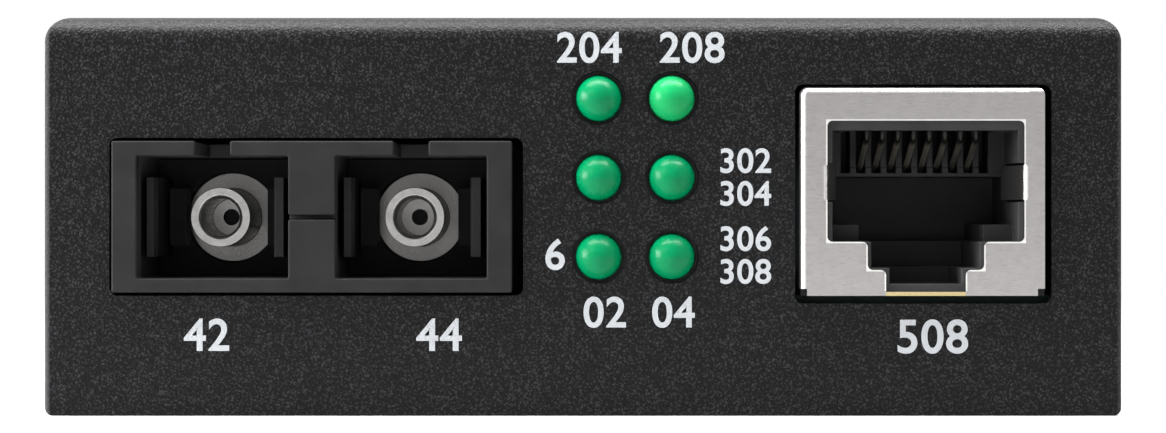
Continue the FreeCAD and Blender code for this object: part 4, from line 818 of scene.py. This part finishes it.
def wire_path(node):
    """Bends of a contact's middle line, from below the board to its tip in the comb."""
    low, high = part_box(node)
    middle = (low[0] + high[0]) / 2
    half = 0.15 * MM
    top, nose = high[2] - half, low[1] + half
    hairpin, tip_ahead, tip_drop = 1.5 * MM, 5.75 * MM, 3.5 * MM
    return [Vector((middle, y, z)) for y, z in (
        (high[1] - half, low[2]), (high[1] - half, top), (nose, top), (nose, top - hairpin),
        (nose + tip_ahead, top - tip_drop))]


class CONVERTER_OT_jack(bpy.types.Operator):
    """Finishes the RJ45 jack: nickel shield, black insert and spring contacts"""
    bl_idname = "converter.jack"
    bl_label = "Network jack"

    def execute(self, context):
        settings = scene_settings().jack
        settle(dressed("jack_can", "jack_shield", 0.0), "shield_metal", nickel_finish(settings),
               "jack_shield")
        black = moulding_finish("insert_moulding", (0.026, 0.026, 0.0265), rough=0.5, level=0.12)
        settle(dressed("jack_block", "jack_insert", settings.edge), "black_moulding", black, "jack_insert")
        gold = contact_finish(settings)
        tree, sockets = contact_wire_tree()
        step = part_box("jack_contact_3")[0][0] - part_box("jack_contact_1")[0][0]
        for name, first in (("near_contacts", 1), ("far_contacts", 2)):
            corners = wire_path("jack_contact_%d" % first)
            line = bpy.data.meshes.new(name)
            line.from_pydata(corners, [(i, i + 1) for i in range(len(corners) - 1)], [])
            piece = run_tree(new_piece(name, line), tree, sockets, {
                "Wires": 4, "Step": (step, 0.0, 0.0), "Wire Radius": settings.wire,
                "Bend Radius": settings.bend, "Metal": gold})
            settle(piece, "contact_metal", gold, *("jack_contact_%d" % i for i in range(first, 9, 2)))
        return {"FINISHED"}


class CONVERTER_OT_inlet(bpy.types.Operator):
    """Finishes the power inlet at the rear"""
    bl_idname = "converter.inlet"
    bl_label = "Power inlet"

    def execute(self, context):
        black = moulding_finish("inlet_moulding", (0.018, 0.018, 0.019), rough=0.4)
        settle(dressed("inlet_block", "inlet_body", 0.1 * MM), "black_moulding", black, "inlet_body")
        plate = metal_finish("inlet_plating", (0.66, 0.65, 0.62), (1.0, 0.1, 1.0), rough=0.22)
        finish_nodes(plate, "inlet_pin", "inlet_spring")
        return {"FINISHED"}


class CONVERTER_OT_electronics(bpy.types.Operator):
    """Finishes the circuit board and what stands on it"""
    bl_idname = "converter.electronics"
    bl_label = "Electronics"

    def execute(self, context):
        # The solder mask's green is its own; its very low brightness is painted shade for the board's edge
        # seen in the gap behind the panel.
        mask = moulding_finish("solder_mask", (0.002, 0.010, 0.006), size=0.5 * MM, rough=0.45,
                               level=0.12, worn=0.0)
        finish_nodes(mask, "circuit_board", "transceiver_board")
        epoxy = moulding_finish("chip_epoxy", (0.022, 0.022, 0.023), rough=0.6)
        finish_nodes(epoxy, "converter_chip", "settings_memory", "voltage_regulator",
                     "isolation_transformer", "power_diode", "power_inductor", "chip_resistors")
        tan = moulding_finish("fired_ceramic", (0.42, 0.30, 0.18), rough=0.45)
        finish_nodes(tan, "chip_capacitors")
        sleeve = moulding_finish("can_sleeve", (0.02, 0.03, 0.08), rough=0.25, level=0.5)
        finish_nodes(sleeve, "input_capacitor", "output_capacitor")
        zinc = metal_finish("bright_plate", (0.62, 0.62, 0.61), (1.0, 1.0, 0.1))
        finish_nodes(zinc, "board_screws", "board_standoffs", "transceiver_pins", "clock_crystal")
        return {"FINISHED"}


# What is printed on the panel: text, middle (x, z) and height of its figures, in millimetres.
LEGENDS = [
    ("204", 0.4, 23.67, 2.0), ("208", 7.0, 23.67, 2.0),
    ("302", 10.4, 16.4, 1.6), ("304", 10.4, 14.3, 1.6),
    ("306", 10.4, 11.4, 1.6), ("308", 10.4, 9.3, 1.6),
    ("6", -1.8, 10.4, 2.0), ("02", 1.4, 6.7, 2.0), ("04", 5.8, 6.7, 2.0),
    ("42", -24.1, 5.25, 2.1), ("44", -9.2, 5.25, 2.1), ("508", 22.4, 5.15, 2.2),
]


def legend_mesh(text, middle, height, settings):
    """One number as a thin closed mesh on the panel."""
    figure_share = 0.73
    words = bpy.data.curves.new("legend", "FONT")
    words.body = text
    words.size = height / figure_share
    words.align_x = "CENTER"
    words.offset = height * settings.weight
    words.extrude = settings.thick / 2
    words.space_character = 1.05
    holder = new_piece("legend", words)
    mesh = plain_mesh(holder)
    bpy.data.objects.remove(holder)
    upright = Matrix.Rotation(math.radians(90), 4, "X")
    place = Matrix.Translation((middle[0], PANEL, middle[1] - height / 2))
    mesh.transform(place @ upright)
    return mesh


class CONVERTER_OT_legends(bpy.types.Operator):
    """Prints plain numbers beside the ports and the lamps"""
    bl_idname = "converter.legends"
    bl_label = "Legends"

    def execute(self, context):
        settings = scene_settings().legends
        whole = bmesh.new()
        for text, x, z, height in LEGENDS:
            whole.from_mesh(legend_mesh(text, (x * MM, z * MM), height * MM, settings))
        bmesh.ops.remove_doubles(whole, verts=whole.verts, dist=0.0005 * MM)
        mesh = bpy.data.meshes.new("panel_legends")
        whole.to_mesh(mesh)
        whole.free()
        piece = new_piece("panel_legends", mesh)
        mesh.materials.clear()
        mesh.materials.append(ink_finish(settings, scene_settings().coat))
        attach(piece, ROOT)
        return {"FINISHED"}


# ---------------------------------------------------------------- stage

def softbox(name, place, target, size, power):
    """A rectangular light aimed at a point, both measured from the foot of the panel."""
    lamp = bpy.data.lights.new(name, "AREA")
    lamp.shape = "RECTANGLE"
    lamp.size, lamp.size_y = size
    lamp.energy = power
    holder = new_piece(name, lamp)
    holder.location = Vector(place) + Vector((0.0, PANEL, 0.0))
    holder.rotation_euler = (Vector(target) - Vector(place)).to_track_quat("-Z", "Y").to_euler()


def seen_rays(tree):
    """1 for what the camera, metal or glass sees, and 0 for what only lights the object."""
    path = add(tree, "ShaderNodeLightPath")
    seen = maths(tree, "ADD", path.outputs["Is Camera Ray"], path.outputs["Is Glossy Ray"])
    return maths(tree, "ADD", seen, path.outputs["Is Transmission Ray"], clamp=True)


def light_room(settings):
    """A white room for the camera, metal and glass, and a soft even light for the rest."""
    world = bpy.data.worlds.new("room")
    bpy.context.scene.world = world
    tree = bare_tree(world)
    shown = add(tree, "ShaderNodeBackground", {"Color": WHITE, "Strength": 1.0})
    soft = add(tree, "ShaderNodeBackground", {"Color": WHITE, "Strength": settings.room})
    mixed = add(tree, "ShaderNodeMixShader", {0: seen_rays(tree), 1: soft.outputs[0], 2: shown.outputs[0]})
    add(tree, "ShaderNodeOutputWorld", {"Surface": mixed.outputs[0]})


def lay_floor(settings):
    """A pale floor that shows white where it is lit and keeps the object's shadow."""
    reach, gap, shadow, clear = 2.0, 0.02 * MM, 0.06, 0.3
    mesh = bpy.data.meshes.new("floor")
    mesh.from_pydata([(-reach, -reach, -gap), (reach, -reach, -gap), (reach, reach, -gap),
                      (-reach, reach, -gap)], [], [(0, 1, 2, 3)])
    floor = new_piece("floor", mesh)
    material = bpy.data.materials.new("pale_floor")
    tree = bare_tree(material)
    plain = add(tree, "ShaderNodeBsdfDiffuse", {"Color": rgba(settings.floor)})
    glow = add(tree, "ShaderNodeEmission", {"Color": WHITE, "Strength": settings.glow})
    both = add(tree, "ShaderNodeAddShader", {0: plain.outputs[0], 1: glow.outputs[0]})
    white = add(tree, "ShaderNodeEmission", {"Color": WHITE, "Strength": 1.0})
    place = add(tree, "ShaderNodeTexCoord")
    away = add(tree, "ShaderNodeVectorMath", {0: place.outputs["Object"]}, operation="LENGTH")
    far = span(tree, away.outputs["Value"], shadow, clear)
    shown = add(tree, "ShaderNodeMixShader", {0: far, 1: both.outputs[0], 2: white.outputs[0]})
    mixed = add(tree, "ShaderNodeMixShader", {0: seen_rays(tree), 1: plain.outputs[0], 2: shown.outputs[0]})
    add(tree, "ShaderNodeOutputMaterial", {"Surface": mixed.outputs[0]})
    mesh.materials.append(material)


def place_camera(settings):
    """A camera straight in front of the panel."""
    data = bpy.data.cameras.new("camera")
    data.sensor_width = 36.0
    data.lens = data.sensor_width * settings.distance / settings.shown
    data.clip_start, data.clip_end = 0.01, 20.0
    camera = new_piece("camera", data)
    camera.location = (0.0, PANEL - settings.distance, settings.eye)
    camera.rotation_euler = (math.radians(90), 0.0, 0.0)
    bpy.context.scene.camera = camera


class CONVERTER_OT_stage(bpy.types.Operator):
    """Sets the floor, the lights and the camera"""
    bl_idname = "converter.stage"
    bl_label = "Stage"

    def execute(self, context):
        settings = scene_settings().stage
        place_camera(settings)
        light_room(settings)
        lay_floor(settings)
        middle = (0.0, 0.0, settings.eye)
        for name, place, target, size in (
                ("key", (-0.28, -0.30, 0.26), middle, (0.22, 0.16)),
                ("top", (0.0, -0.015, 0.32), (0.0, -0.01, 0.025), (0.5, 0.14)),
                ("side", (-0.30, -0.02, 0.04), (0.0, -0.01, 0.015), (0.3, 0.2)),
                ("fill", (0.32, -0.28, 0.05), middle, (0.2, 0.2))):
            softbox(name + "_light", place, target, size, getattr(settings, name))
        context.scene.view_settings.view_transform = "Standard"
        return {"FINISHED"}


class CONVERTER_PT_panel(bpy.types.Panel):
    """Lists what the converter is made of"""
    bl_idname = "CONVERTER_PT_panel"
    bl_label = "Fibre Media Converter"
    bl_space_type = "VIEW_3D"
    bl_region_type = "UI"
    bl_category = "Converter"

    def draw(self, context):
        settings = scene_settings()
        for operator, part in STEPS:
            box = self.layout.box()
            box.operator(operator.bl_idname)
            group_settings = getattr(settings, part) if part else None
            if group_settings:
                for key in type(group_settings).__annotations__:
                    box.prop(group_settings, key)


STEPS = [
    (CONVERTER_OT_case, "coat"),
    (CONVERTER_OT_transceiver, "transceiver"),
    (CONVERTER_OT_lamps, "lamps"),
    (CONVERTER_OT_jack, "jack"),
    (CONVERTER_OT_inlet, None),
    (CONVERTER_OT_electronics, None),
    (CONVERTER_OT_legends, "legends"),
    (CONVERTER_OT_stage, "stage"),
]

CLASSES = [CoatSettings, TransceiverSettings, LampSettings, JackSettings, LegendSettings, StageSettings,
           ConverterSettings, *(operator for operator, _ in STEPS), CONVERTER_PT_panel]


def register():
    for cls in CLASSES:
        bpy.utils.register_class(cls)
    bpy.types.Scene.converter = bpy.props.PointerProperty(type=ConverterSettings)


def unregister():
    del bpy.types.Scene.converter
    for cls in reversed(CLASSES):
        bpy.utils.unregister_class(cls)


def main():
    """Builds everything in order."""
    register()
    for operator, _ in STEPS:
        area, name = operator.bl_idname.split(".")
        getattr(getattr(bpy.ops, area), name)()


if __name__ == "__main__":
    main()
